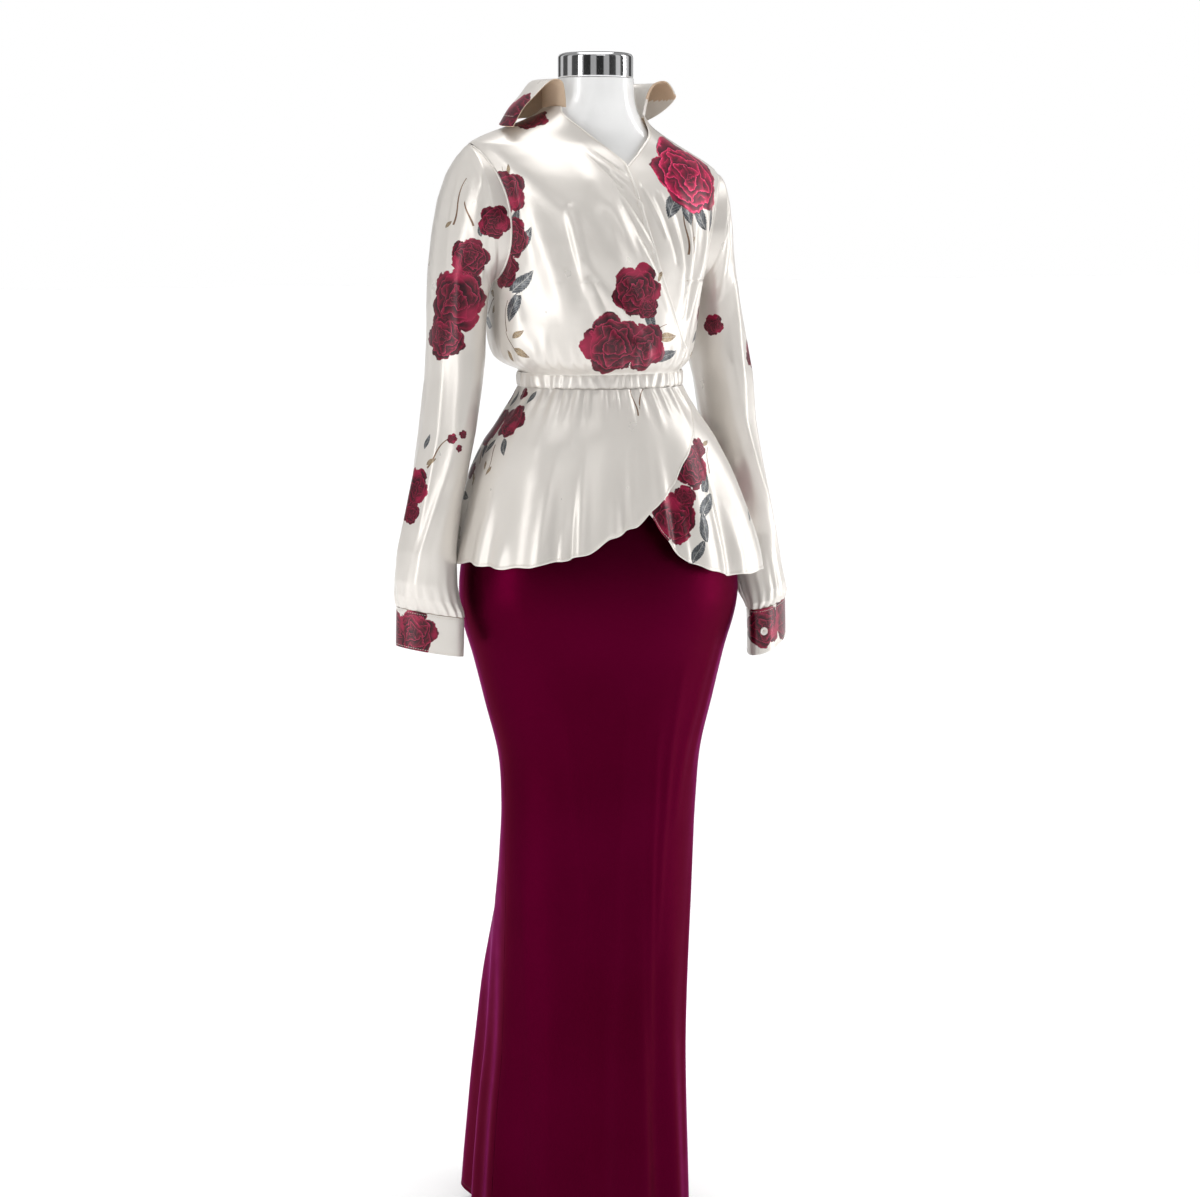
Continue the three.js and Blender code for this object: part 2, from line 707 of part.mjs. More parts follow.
function sleeve(rows, sign) {
  const foldOut = (angle, v) => {
    let out = 0;
    for (const f of SLEEVE_FOLDS) {
      const run = ease(f.from, f.from + SLEEVE_FOLD_EASE, v) * (1 - ease(f.to - SLEEVE_FOLD_EASE, f.to, v));
      out += f.out * bell(turnBetween(f.angle, angle), f.wide) * run;
    }
    return out;
  };
  const ring = (j, angle) => {
    if (j === 0) return armholePoint(angle, sign);
    return ringPoint(rows[j - 1], angle, sign, foldOut(angle, j));
  };
  return wall({
    us: steps(-180, 180, SLEEVE_COLUMNS),
    vs: steps(0, rows.length, rows.length),
    surface: (angle, v) => {
      const low = Math.min(Math.floor(v), rows.length - 1);
      return ring(low, angle).lerp(ring(low + 1, angle), v - low);
    },
    side: -sign,
    round: true,
  });
}

// A cuff laps over itself, starting with its upper end at "open".
function cuffLift(angle, open) {
  const fall = open + CUFF_OVERLAP + CUFF_LIFT_END;
  return CUFF_LIFT * (1 - ease(fall, fall + CUFF_LIFT_FALL, angle));
}

function cuffPoint(rows, angle, v, sign) {
  const low = Math.min(Math.floor(v), rows.length - 2);
  return ringPoint(rows[low], angle, sign).lerp(ringPoint(rows[low + 1], angle, sign), v - low);
}

function cuff(rows, sign, open) {
  return wall({
    us: steps(open, open + 360 + CUFF_OVERLAP, CUFF_COLUMNS),
    vs: steps(0, rows.length - 1, rows.length - 1),
    surface: (angle, v) => cuffPoint(rows, angle, v, sign),
    lift: (angle) => cuffLift(angle, open),
    side: -sign,
  });
}

// A round button, flat on the middle of the cuff's overlap.
function button(rows, sign, open) {
  const angle = open + CUFF_OVERLAP / 2;
  const middle = (rows.length - 1) / 2;
  const at = cuffPoint(rows, angle, middle, sign);
  const across = cuffPoint(rows, angle + 1, middle, sign).sub(cuffPoint(rows, angle - 1, middle, sign));
  const along = cuffPoint(rows, angle, middle + 0.1, sign).sub(cuffPoint(rows, angle, middle - 0.1, sign));
  const normal = across.clone().cross(along).normalize().multiplyScalar(-sign);
  const low = CUFF_LIFT + BUTTON_GAP;
  const outline = BUTTON_OUTLINE.map(({ r, up }) => new THREE.Vector2(BUTTON_R * r, low + BUTTON_H * up));
  const geometry = new THREE.LatheGeometry(outline, BUTTON_COLUMNS);
  geometry.applyQuaternion(new THREE.Quaternion().setFromUnitVectors(new THREE.Vector3(0, 1, 0), normal));
  geometry.translate(at.x, at.y, at.z);
  return geometry;
}

// ---- Skirt ----
function skirt(angle, z) {
  let out = 0;
  for (const f of SKIRT_FOLDS) {
    const open = ease(f.top, SKIRT_FOLD_FULL_Z, z) ** SKIRT_FOLD_GROWTH;
    out += f.out * bell(turnBetween(f.angle, angle), f.wide) * open;
  }
  return onTube(SKIRT, angle, z, out);
}

function skirtPanel(from, to, columns) {
  return wall({ us: steps(from, to, columns), vs: SKIRT_ROWS, surface: skirt });
}

const SKIRT_GAP = seamAngle(SKIRT_R);
const skirtFront = skirtPanel(-90 + SKIRT_GAP, 90 - SKIRT_GAP, 18);
const skirtBack = skirtPanel(90 + SKIRT_GAP, 270 - SKIRT_GAP, 24);
const skirtWaistband = wall({
  us: steps(-180, 180, SKIRT_BAND_COLUMNS),
  vs: [SKIRT_TOP_Z - SKIRT_BAND_H + SEAM, SKIRT_TOP_Z],
  surface: (angle, z) => onTube(SKIRT, angle, z),
  thick: SKIRT_BAND_WALL,
  round: true,
});

// ---- Dress form and stand ----
function formLevel({ z }) {
  return steps(-180, 180, FORM_COLUMNS)
    .slice(0, FORM_COLUMNS)
    .map((angle) => onTube(FORM, angle, z));
}
const formBody = filled(FORM.map(formLevel));

// A turned piece on the Z axis, from its radius and height at each corner of its outline.
function turned(outline, columns) {
  const points = outline.map(([r, height]) => new THREE.Vector2(r, height));
  const geometry = new THREE.LatheGeometry(points, columns);
  geometry.rotateX(Math.PI / 2);
  return geometry;
}

const CAP_OUTLINE = [
  [0, 0],
  [CAP_R - 1, 0],
  [CAP_R, 1],
  [CAP_R, CAP_H - 5],
  [CAP_R - 2, CAP_H - 2],
  [CAP_R - 7, CAP_H - 0.4],
  [0, CAP_H],
];
const neckCap = turned(CAP_OUTLINE, CAP_COLUMNS);
neckCap.translate(NECK_X, NECK_Y, NECK_TOP_Z + REST_GAP);

const POLE_OUTLINE = [
  [0, BASE_H + REST_GAP],
  [POLE_R, BASE_H + REST_GAP],
  [POLE_R, FORM_FOOT_Z - REST_GAP],
  [0, FORM_FOOT_Z - REST_GAP],
];
const standPole = turned(POLE_OUTLINE, POLE_COLUMNS);

const BASE_OUTLINE = [
  [0, 0],
  [BASE_R, 0],
  [BASE_R, BASE_H - BASE_EDGE],
  [BASE_R - BASE_EDGE, BASE_H],
  [0, BASE_H],
];
const standBase = turned(BASE_OUTLINE, BASE_COLUMNS);

// ---- The set ----
const SATIN = { roughness: 0.35, metalness: 0 };
const IVORY = { color: 0xf1e9dc, ...SATIN };
const BURGUNDY = { color: 0x4d0520, ...SATIN };
const WHITE = { color: 0xf4f3f2, roughness: 0.3, metalness: 0 };
const CHROME = { color: 0xc8c8cc, roughness: 0.12, metalness: 1 };
const STEEL = { color: 0xb4b4b8, roughness: 0.3, metalness: 1 };
const PEARL = { color: 0xe9e0d6, roughness: 0.25, metalness: 0 };

const PIECES = [
  ["bodice_right_front", upperFront, IVORY],
  ["bodice_left_front", lowerFront, IVORY],
  ["bodice_back", back, IVORY],
  ["collar", collar, IVORY],
  ["blouse_waistband", blouseWaistband, IVORY],
  ["peplum_right_front", peplumUpper, IVORY],
  ["peplum_left_front", peplumLower, IVORY],
  ["peplum_back", peplumBack, IVORY],
  ["sleeve_right", sleeve(RIGHT_SLEEVE, -1), IVORY],
  ["sleeve_left", sleeve(LEFT_SLEEVE, 1), IVORY],
  ["cuff_right", cuff(RIGHT_CUFF, -1, RIGHT_CUFF_OPEN), IVORY],
  ["cuff_left", cuff(LEFT_CUFF, 1, LEFT_CUFF_OPEN), IVORY],
  ["cuff_button_right", button(RIGHT_CUFF, -1, RIGHT_CUFF_OPEN), PEARL],
  ["cuff_button_left", button(LEFT_CUFF, 1, LEFT_CUFF_OPEN), PEARL],
  ["skirt_front", skirtFront, BURGUNDY],
  ["skirt_back", skirtBack, BURGUNDY],
  ["skirt_waistband", skirtWaistband, BURGUNDY],
  ["form_body", formBody, WHITE],
  ["neck_cap", neckCap, CHROME],
  ["stand_pole", standPole, STEEL],
  ["stand_base", standBase, STEEL],
];

const set = new THREE.Group();
for (const [name, geometry, look] of PIECES) {
  const mesh = new THREE.Mesh(geometry, new THREE.MeshStandardMaterial(look));
  mesh.name = name;
  set.add(mesh);
}
export default set;
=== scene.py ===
import math

import bpy
import numpy as np
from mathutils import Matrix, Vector


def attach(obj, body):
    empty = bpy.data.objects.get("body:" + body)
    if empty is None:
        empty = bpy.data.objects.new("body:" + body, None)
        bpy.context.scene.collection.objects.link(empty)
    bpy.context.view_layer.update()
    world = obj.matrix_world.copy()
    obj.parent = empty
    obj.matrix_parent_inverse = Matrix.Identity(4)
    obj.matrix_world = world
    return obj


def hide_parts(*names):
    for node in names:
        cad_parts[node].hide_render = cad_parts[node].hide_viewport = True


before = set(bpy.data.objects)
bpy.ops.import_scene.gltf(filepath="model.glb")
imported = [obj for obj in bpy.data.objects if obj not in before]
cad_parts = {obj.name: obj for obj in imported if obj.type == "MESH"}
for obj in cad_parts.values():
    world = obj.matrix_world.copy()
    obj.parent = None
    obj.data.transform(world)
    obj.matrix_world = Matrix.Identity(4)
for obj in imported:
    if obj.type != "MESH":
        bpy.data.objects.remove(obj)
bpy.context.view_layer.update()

MM = 0.001

# ---- Driving sizes, as in the solids ----
CLOTH = 1.0
CASING = 2.4
SEAM = 0.5
LAP = 4.2
WAIST_LAP = 2.9
NECK_EDGE_Z = 1518
WAIST_Z = 1190
WAIST_BAND_H = 17
WAIST_BAND_SAG = 3
SKIRT_TOP_Z = 1165
SKIRT_BAND_H = 25
SKIRT_HEM_Z = 28
ARMHOLE_Z = 1383
ARMHOLE_HIGH = 78
ARMHOLE_DEEP = 55
ARMHOLE_EASE = 1.2
ARMHOLE_TOP_EASE = 1.8
COLLAR_END = 57
BUTTON_R = 5.5
BUTTON_H = 2.6
BUTTON_GAP = 0.3
BUTTON_HOLE = 1.15
BUTTON_HOLE_R = 0.6
BUTTON_HOLE_DEEP = 1.1
BASE_R = 165
BASE_H = 8
BASE_EDGE = 3
POLE_R = 12.5
FORM_FOOT_Z = 800
NECK_TOP_Z = 1560
NECK_X = -1
NECK_Y = 12
CAP_R = 48
CAP_H = 32
REST_GAP = 0.3
SHOULDER_TILT = 0.094
CUFF_OVERLAP = 26
CUFF_LIFT = 2.2
RIGHT_CUFF_OPEN = 95
LEFT_CUFF_OPEN = 190
LAP_REACH = 22  # how far round a lap takes to come out fully, in degrees

# ---- Looks that the solids don't have ----
SHOULDER_RISE = (1290, 1440)  # heights between which the slope of the shoulders comes in
NECK_FADE = (1505, 1550)  # and those between which it goes out
CALM_FOOT, CALM_HEAD = (1192, 1216), (1425, 1465)  # heights where the broad folds come in and go out
BRISK_FOOT, BRISK_HEAD = (1200, 1225), (1446, 1476)  # the same for the sharp ones
WAIST_GATHER = 1.35  # how full the gathers above the waist are
PEPLUM_FULL = 1.6  # how full the peplum's waves and gathers are
SLEEVE_GATHER = 1.3
COLLAR_SWING = 13  # how far the collar's left end turns back round the neck, in degrees
STITCH_STEP, STITCH_LONG, STITCH_R = 3.2, 2.3, 0.26
FINE_STEPS = np.array([-1.0, -0.75, -0.5, -0.3, -0.15, 0.0, 0.15, 0.3, 0.5, 0.75, 1.0])


# ---- Tables ----
def table(columns, *rows):
    """Each column of the table by its name, as an array."""
    data = np.array(rows, dtype=float)
    return {name: data[:, i] for i, name in enumerate(columns.split())}


def rows_of(columns, *rows):
    """Each row of the table, with its values by name."""
    return [dict(zip(columns.split(), row)) for row in rows]


SECTION = "z side front back x y square"
BLOUSE = table(
    SECTION,
    (1189, 108, 84, 82, 0, 0, 2.1), (1192, 108.6, 84.5, 82.6, 0, 0, 2.1), (1195, 112.5, 88, 88, -1, 1, 2.1),
    (1200, 120, 94.5, 97, -4, 3, 2.1), (1209, 128, 102, 107, -7, 6, 2.1),
    (1235, 134, 109, 112, -8, 8, 2.15), (1283, 138, 114, 107, -5, 10, 2.2),
    (1340, 145, 116, 102, -1, 12, 2.25), (1388, 156, 108, 98, 1, 15, 2.3), (1420, 165, 97, 92, 1, 18, 2.3),
    (1445, 172, 83, 82, 1, 20, 2.25), (1460, 171, 73, 73, 1, 22, 2.2), (1470, 158, 66, 66, 1, 23, 2.15),
    (1482, 133, 61, 60, 0, 23, 2.1), (1496, 101, 58, 55, 0, 22, 2.05), (1508, 79, 57, 52, -1, 20, 2),
    (1519, 67, 56, 51, -1, 18, 2),
)
PEPLUM = table(
    SECTION,
    (915, 198, 153, 151, -3, 2, 2.1), (945, 195, 150, 149, -3, 2, 2.1), (1000, 184, 141, 141, -3, 2, 2.1),
    (1060, 170, 129, 129, -2, 2, 2.1), (1099, 154, 118, 117, -1, 1, 2.1), (1118, 142, 110, 108, 0, 0, 2.1),
    (1138, 128, 100, 98, 0, 0, 2.1), (1156, 115, 91, 89, 0, 0, 2.1), (1168, 109.5, 85.5, 83.5, 0, 0, 2.1),
    (1176, 109, 85, 83, 0, 0, 2.1),
)
SKIRT = table(
    SECTION,
    (20, 141, 96, 268, 0, 14, 2), (125, 137, 92, 248, 0, 12, 2), (200, 134, 90, 240, 0, 12, 2),
    (270, 131, 88, 236, 0, 10, 2), (340, 131, 88, 220, 0, 10, 2), (410, 132, 90, 190, 0, 10, 2),
    (480, 133, 92, 160, 1, 10, 2), (550, 134, 94, 126, 2, 10, 2), (617, 135, 97, 108, 3, 8, 2),
    (685, 140, 101, 108, 4, 8, 2), (753, 157, 109, 115, 4, 8, 2), (821, 174, 119, 125, 4, 8, 2),
    (865, 187, 127, 133, 3, 5, 2), (901, 192, 130, 137, 2, 3, 2), (945, 187, 129, 136, 0, 2, 2),
    (1000, 173, 123, 127, 0, 2, 2), (1060, 150, 110, 112, 0, 1, 2), (1100, 128, 96, 97, 0, 0, 2),
    (1138, 112, 87, 86, 0, 0, 2.05), (1166, 108, 84, 82, 0, 0, 2.1),
)
FORM = table(
    SECTION,
    (800, 118, 84, 90, 2, 6, 2), (806, 136, 92, 99, 2, 6, 2), (830, 156, 104, 113, 3, 6, 2),
    (870, 176, 116, 124, 3, 5, 2), (905, 182, 119, 127, 2, 3, 2), (950, 176, 118, 125, 0, 2, 2),
    (1000, 163, 112, 116, 0, 2, 2), (1060, 139, 100, 102, 0, 1, 2), (1100, 119, 89, 89, 0, 0, 2),
    (1138, 107, 81, 80, 0, 0, 2.05), (1166, 104.5, 80.5, 78.5, 0, 0, 2.1),
    (1181, 105.3, 81.3, 79.3, 0, 0, 2.1), (1192, 104.5, 80.5, 78.5, 0, 0, 2.1),
    (1215, 108, 83, 82, -1, 1, 2.1), (1260, 116, 93, 87, -2, 3, 2.1), (1320, 128, 106, 90, -1, 7, 2.1),
    (1370, 141, 102, 90, 0, 12, 2.2), (1410, 156, 90, 86, 1, 16, 2.2), (1440, 167, 76, 76, 1, 20, 2.2),
    (1454, 167, 68, 68, 1, 22, 2.15), (1464, 158, 62, 62, 1, 23, 2.1), (1476, 135, 57, 57, 0, 23, 2.1),
    (1490, 103, 54, 52, 0, 22, 2.05), (1502, 78, 52, 50, -1, 19, 2), (1514, 63, 50, 48, -1, 16, 2),
    (1532, 52, 49, 48, -1, 13, 2), (1560, 49, 48, 48, -1, 12, 2),
)
UPPER_EDGE = table(
    "z angle",
    (1190, 57), (1205, 53), (1225, 47), (1257, 36), (1295, 25), (1335, 16), (1400, 8.5), (1449, 6),
    (1462, -3.5), (1478, -20.5), (1490, -34.5), (1507, -54.5), (1518, -61),
)
LOWER_EDGE = table(
    "z angle",
    (1190, -57), (1257, -36), (1335, -18), (1400, -8), (1435, -1), (1449, 6), (1470, 27), (1489, 44),
    (1507, 56), (1518, 61),
)
UPPER_HEM = table(
    "angle z",
    (-90, 949), (-62, 954), (-48, 955), (-36, 966), (-24, 978), (-10, 998), (3, 1016), (16, 1045),
    (27, 1073), (38, 1100), (50, 1130), (60, 1158),
)
LOWER_HEM = table(
    "angle z",
    (-60, 1158), (-50, 1130), (-38, 1100), (-20, 1060), (-8, 1036), (4, 1012), (10, 988), (20, 960),
    (28, 945), (40, 935), (64, 928), (90, 931),
)
BACK_HEM = table("angle z", (90, 931), (135, 938), (180, 942), (225, 946), (270, 949))
RING = "outX outY outZ inX inY inZ deep"
RIGHT_SLEEVE = table(
    RING,
    (174, 23, 1458, 147, 12, 1304, 57), (181, 25, 1448, 149, 14, 1299, 58),
    (192, 28, 1428, 150, 17, 1292, 57), (203, 31, 1400, 151, 21, 1283, 56),
    (211, 33, 1366, 151, 25, 1270, 54), (217, 34, 1325, 151, 28, 1253, 52),
    (221, 34, 1280, 151, 29, 1232, 51), (224, 33, 1232, 152, 28, 1205, 50),
    (229, 30, 1180, 158, 24, 1168, 48), (238, 26, 1120, 168, 18, 1116, 46),
    (248, 24, 1070, 181, 8, 1067, 45), (257, 23, 1020, 195, -2, 1016, 44),
    (267, 24, 970, 206, -12, 964, 42), (274, 24, 930, 207, -17, 922, 40), (277, 23, 912, 204, -19, 901, 36),
    (277, 21, 902, 200, -19.5, 889, 30), (276, 19.5, 895.5, 198.5, -18.5, 881, 25),
)
LEFT_SLEEVE = table(
    RING,
    (176, 23, 1458, 146, 12, 1304, 57), (180, 25, 1447, 147, 14, 1299, 58),
    (184, 28, 1425, 148, 17, 1292, 57), (188, 31, 1396, 148, 21, 1283, 56),
    (192, 33, 1362, 148, 25, 1270, 54), (198, 34, 1322, 148, 28, 1253, 52),
    (206, 34, 1280, 148, 29, 1232, 51), (217, 33, 1230, 150, 28, 1205, 50),
    (227, 31, 1182, 157, 25, 1168, 48), (231, 29, 1120, 166, 22, 1116, 46),
    (235, 29, 1070, 180, 16, 1067, 45), (240, 31, 1020, 195, 8, 1016, 41), (248, 34, 970, 205, -4, 962, 38),
    (259, 38, 925, 210, -20, 915, 35), (270, 38, 898, 212, -31, 887, 32), (279, 36, 884, 213, -34, 874, 27),
    (281, 34, 875.5, 213, -33, 866, 23),
)
RIGHT_CUFF = table(
    RING,
    (276, 19.5, 894.8, 198.5, -18.5, 880.3, 25), (276.5, 19.5, 878, 198.5, -18.5, 864, 25),
    (277, 19.5, 861, 199, -18.5, 847, 25.5), (277.5, 19, 845, 199.5, -18, 830.5, 26),
)
LEFT_CUFF = table(
    RING,
    (281, 34, 875, 213, -33, 865.5, 23), (281.5, 34, 858, 214, -33, 845, 23),
    (281.5, 33.5, 841, 215, -32.5, 824, 23.5), (281, 33, 823, 216, -32, 803, 24),
)
CUFFS = (("right", RIGHT_CUFF, -1, RIGHT_CUFF_OPEN), ("left", LEFT_CUFF, 1, LEFT_CUFF_OPEN))
COLLAR = table(
    "backOut backUp rightOut rightUp leftOut leftUp",
    (0, 0, 0, 0, 0, 0), (-1, 14, 1, 13, 3, 12), (0, 29, 4, 28, 7, 24), (4, 36, 9, 36, 13, 33),
    (10, 37, 18, 37, 21, 37), (15, 30, 30, 26, 29, 37), (19, 10, 50, -2, 35, 31),
    (22, -12, 72, -34, 40, 22),
)

# Folds of the bodice: a ridge from one point to another, with its breadth and height in mm.
# The broad ones are in the solids too. The sharp ones run inside and beside them.
BODICE_FOLDS = rows_of(
    "angle z toAngle toZ broad high",
    (-34, 1462, 22, 1262, 15, 4.5), (-52, 1440, 2, 1250, 16, 4), (-60, 1390, -30, 1235, 14, 3.5),
    (-75, 1300, -62, 1215, 12, 3), (-12, 1235, 20, 1212, 10, 3), (62, 1450, 50, 1225, 12, 4),
    (42, 1430, 38, 1270, 11, 3.5), (72, 1300, 66, 1215, 11, 3), (112, 1300, 118, 1215, 13, 4),
    (128, 1440, 150, 1230, 14, 4), (165, 1300, 168, 1212, 12, 4), (205, 1420, 192, 1225, 14, 4.5),
    (232, 1430, 226, 1222, 13, 3.5), (250, 1300, 246, 1212, 12, 4),
)
SHARP_FOLDS = rows_of(
    "angle z toAngle toZ broad high",
    # the crest across the chest, the long ridge down from it and the hollows on both sides
    (-68, 1438, -40, 1388, 12, 3.2), (-40, 1384, -12, 1402, 17, 1.4), (-38, 1388, -27, 1296, 5.5, 4.4),
    (-28, 1306, -14, 1240, 5, 3.6), (-53, 1352, -57, 1250, 24, -4), (-25, 1346, -11, 1290, 14, -3.2),
    (-13, 1398, 0, 1322, 8, 3), (-30, 1270, -36, 1216, 9, -2),
    # the facing along the neck and the narrow folds beside it
    (-44, 1494, 2, 1450, 5, 1.5), (-43, 1481, 1.5, 1437, 2, -1.6), (-42, 1474, 2, 1428, 3, 2),
    (-30, 1456, 8, 1404, 2.4, -1.5), (-11, 1436, 9, 1398, 2.6, 2.4), (-10, 1422, 8, 1374, 2.2, -1.8),
    (-6, 1408, 12, 1346, 3, 2.6), (0, 1376, 16, 1318, 2.6, -1.8), (2, 1356, 26, 1272, 3.2, 2.4),
    (-4, 1310, 20, 1250, 4, -2), (-20, 1300, 14, 1228, 4.5, 1.8), (-66, 1430, -60, 1330, 5, 1.8),
    (-76, 1372, -66, 1260, 6, 2), (-30, 1330, 2, 1228, 4, 1.6),
    # the gathers of the under layer
    (14, 1426, 24, 1362, 2.4, 2.2), (22, 1412, 32, 1330, 2.4, -2), (26, 1420, 36, 1320, 3, 2.6),
    (34, 1396, 40, 1290, 2.6, -2.2), (40, 1392, 42, 1262, 3, 3), (48, 1380, 46, 1262, 3.4, -2.4),
    (57, 1400, 49, 1256, 4, 3.4), (64, 1390, 55, 1240, 6, -2.4), (71, 1420, 60, 1236, 4, 2.8),
    (106, 1400, 122, 1300, 5, 1.8), (140, 1420, 148, 1290, 4.5, 1.7), (158, 1400, 170, 1260, 5, 1.8),
    (182, 1440, 178, 1270, 5, 1.5), (214, 1400, 204, 1270, 4.5, 1.8), (226, 1440, 240, 1320, 5, 1.6),
    (252, 1400, 236, 1300, 5, 1.7),
)
# Gathers above the waist seam: the middle of each, how wide it is, how high it reaches and how far it stands out.
WAIST_GATHERS = rows_of(
    "angle wide top out",
    (-84, 2.6, 1246, 1.9), (-76, 2, 1232, 1.5), (-69, 2.4, 1262, 2.1), (-58, 2.8, 1240, 2),
    (-51, 2, 1256, 1.6), (-43, 2.6, 1235, 2.2), (-35, 1.9, 1250, 1.5), (-27, 2.4, 1228, 1.9),
    (-17, 2.8, 1238, 1.7), (-6, 2.2, 1230, 1.6), (5, 2.6, 1242, 1.8), (15, 2, 1232, 1.5),
    (26, 2.6, 1250, 2), (37, 2.2, 1236, 1.8), (47, 2.4, 1260, 2.2), (59, 2.8, 1240, 1.9),
    (68, 2, 1254, 1.7), (77, 2.6, 1238, 2.1), (86, 2.2, 1250, 1.5), (97, 2.4, 1240, 2),
    (106, 2.8, 1262, 2.2), (118, 2.2, 1236, 1.7), (127, 2.6, 1254, 2.1), (138, 2, 1240, 1.6),
    (147, 2.8, 1266, 2.3), (158, 2.2, 1244, 1.9), (167, 2.6, 1258, 2), (179, 2.8, 1240, 2.2),
    (188, 2, 1262, 1.7), (198, 2.6, 1246, 2.1), (209, 2.4, 1256, 1.8), (220, 2.8, 1238, 2.2),
    (229, 2.2, 1260, 1.8), (240, 2.6, 1242, 2), (250, 2, 1252, 1.6), (261, 2.6, 1236, 2),
)
# Flutes of the peplum, as in the solids, and the finer waves between them.
FLUTES = rows_of(
    "angle wide out",
    (-80, 13, 4), (-52, 11, 16), (-25, 12, 13), (3, 11, 9), (32, 10, 13), (62, 13, 30), (101, 14, 2),
    (130, 13, 19), (160, 12, 16), (192, 13, 20), (224, 12, 16), (253, 12, 5),
)
# The waves: the middle of each, how wide it is, how far up it starts and how far out it stands at the hem.
PEPLUM_WAVES = rows_of(
    "angle wide top out",
    (-86, 3.4, 1040, 2.4), (-73, 3, 1100, 3.4), (-63, 3.6, 1020, 3.8), (-46, 2.8, 1140, 3.6),
    (-38, 2.2, 1060, 3.2), (-31, 2.6, 1150, 3.8), (-16, 2.8, 1080, 3.4), (-7, 2.2, 1120, 2.8),
    (12, 3, 1140, 3.6), (21, 2.4, 1080, 2.8), (41, 2.6, 1160, 3.2), (50, 3, 1050, 3.6),
    (70, 3.2, 1120, 3.8), (80, 2.8, 1030, 3), (92, 3.6, 1090, 2.6), (110, 3.2, 1130, 3.8),
    (119, 2.6, 1040, 3.2), (140, 3, 1150, 3.8), (149, 2.4, 1050, 3), (171, 3.2, 1120, 3.8),
    (181, 2.8, 1050, 3.2), (203, 3, 1140, 3.8), (213, 2.6, 1060, 3), (234, 3.2, 1120, 3.8),
    (244, 2.8, 1040, 3.2), (263, 3, 1100, 2.8),
)
# Gathers under the waist casing: the middle of each, how wide it is, how far down it reaches and how far out
# it stands.
PEPLUM_GATHERS = rows_of(
    "angle wide foot out",
    (-82, 2.2, 1120, 1.5), (-72, 2.6, 1095, 2), (-64, 1.9, 1125, 1.5), (-55, 2.6, 1080, 2.3),
    (-48, 1.8, 1118, 1.7), (-40, 2.4, 1090, 2.2), (-33, 1.8, 1126, 1.5), (-22, 2.6, 1105, 1.8),
    (-12, 2, 1128, 1.4), (-2, 2.6, 1112, 1.7), (9, 2.2, 1124, 1.4), (20, 2.6, 1104, 1.7),
    (30, 2, 1126, 1.4), (41, 2.6, 1110, 1.8), (52, 2.2, 1120, 1.6), (64, 2.6, 1092, 2), (74, 2, 1124, 1.6),
    (84, 2.4, 1108, 1.8), (96, 2.6, 1090, 2), (107, 2, 1122, 1.6), (118, 2.6, 1096, 2.1),
    (128, 2.2, 1118, 1.7), (139, 2.6, 1088, 2.2), (151, 2, 1120, 1.6), (162, 2.6, 1094, 2.1),
    (174, 2.2, 1116, 1.8), (184, 2.6, 1086, 2.2), (196, 2, 1122, 1.7), (206, 2.6, 1098, 2.1),
    (217, 2.2, 1118, 1.7), (228, 2.6, 1090, 2.2), (239, 2, 1124, 1.6), (249, 2.4, 1104, 1.9),
    (260, 2.2, 1118, 1.6),
)
# Folds of the skirt, from a height down to the hem, where they are deepest. Negative ones are hollows.
SKIRT_FOLDS = rows_of(
    "angle top wide out",
    (-95, 580, 13, 18), (-55, 640, 11, 12), (-20, 720, 11, 10), (14, 660, 11, 13), (44, 580, 11, 10),
    (84, 540, 12, -10), (112, 580, 11, 20), (139, 640, 9, 26), (165, 620, 8, 30), (191, 580, 8, 32),
    (217, 640, 9, 28), (243, 560, 10, 20),
)
# Soft length creases of the skirt: where each runs from and to, its breadth and height in mm.
SKIRT_CREASES = rows_of(
    "angle z toAngle toZ broad high",
    (-62, 905, -44, 700, 11, 1.6), (-48, 860, -36, 520, 9, 1.3), (-30, 780, -34, 260, 9, 1.4),
    (-6, 800, -10, 340, 11, 1.2), (20, 720, 26, 240, 8, 1.5), (34, 800, 30, 420, 8, 1.4),
    (56, 860, 42, 600, 10, 1.7), (66, 900, 58, 660, 9, 1.4), (70, 560, 62, 120, 9, 1.6),
    (-74, 520, -66, 120, 9, 1.6), (100, 860, 112, 620, 10, 1.6), (126, 800, 138, 560, 9, 1.5),
    (152, 780, 158, 520, 9, 1.4), (178, 820, 178, 560, 10, 1.6), (204, 780, 198, 520, 9, 1.5),
    (232, 820, 222, 580, 9, 1.5), (256, 880, 248, 640, 10, 1.6),
)
# Folds along a sleeve, between two of its sections, at an angle round it from the outside to the back.
SLEEVE_FOLDS = rows_of(
    "angle start stop wide out",
    (-62, 2, 9, 24, 4), (35, 1, 8, 22, 3.5), (-110, 7, 14, 26, 4), (75, 6, 13, 24, 4), (-20, 10, 15, 22, 3),
    (150, 3, 9, 24, 3),
)
# Sharp creases of a sleeve, slanting from one angle and section to another.
SLEEVE_CREASES = rows_of(
    "angle v toAngle toV broad high",
    (-52, 1.2, -92, 5.2, 7, 1.8), (-84, 1.6, -112, 5.8, 6, 1.7), (-20, 2.4, -44, 6.6, 7, 1.6),
    (-66, 6.2, -98, 11.2, 8, 2.1), (-36, 7.6, -70, 12.6, 7, 1.9), (-104, 8.4, -84, 13.8, 7, 1.8),
    (-12, 9.6, -28, 14.2, 7, 1.7), (24, 1.8, 52, 6.4, 7, 1.7), (66, 2.2, 92, 7, 7, 1.8),
    (40, 7.2, 70, 12, 8, 2), (92, 6.4, 66, 11.8, 7, 1.8), (118, 3.4, 138, 8.2, 7, 1.6),
    (16, 9.2, 34, 14, 7, 1.7), (132, 9.4, 108, 14.2, 7, 1.8), (172, 5.4, 166, 11.6, 7, 1.6),
)


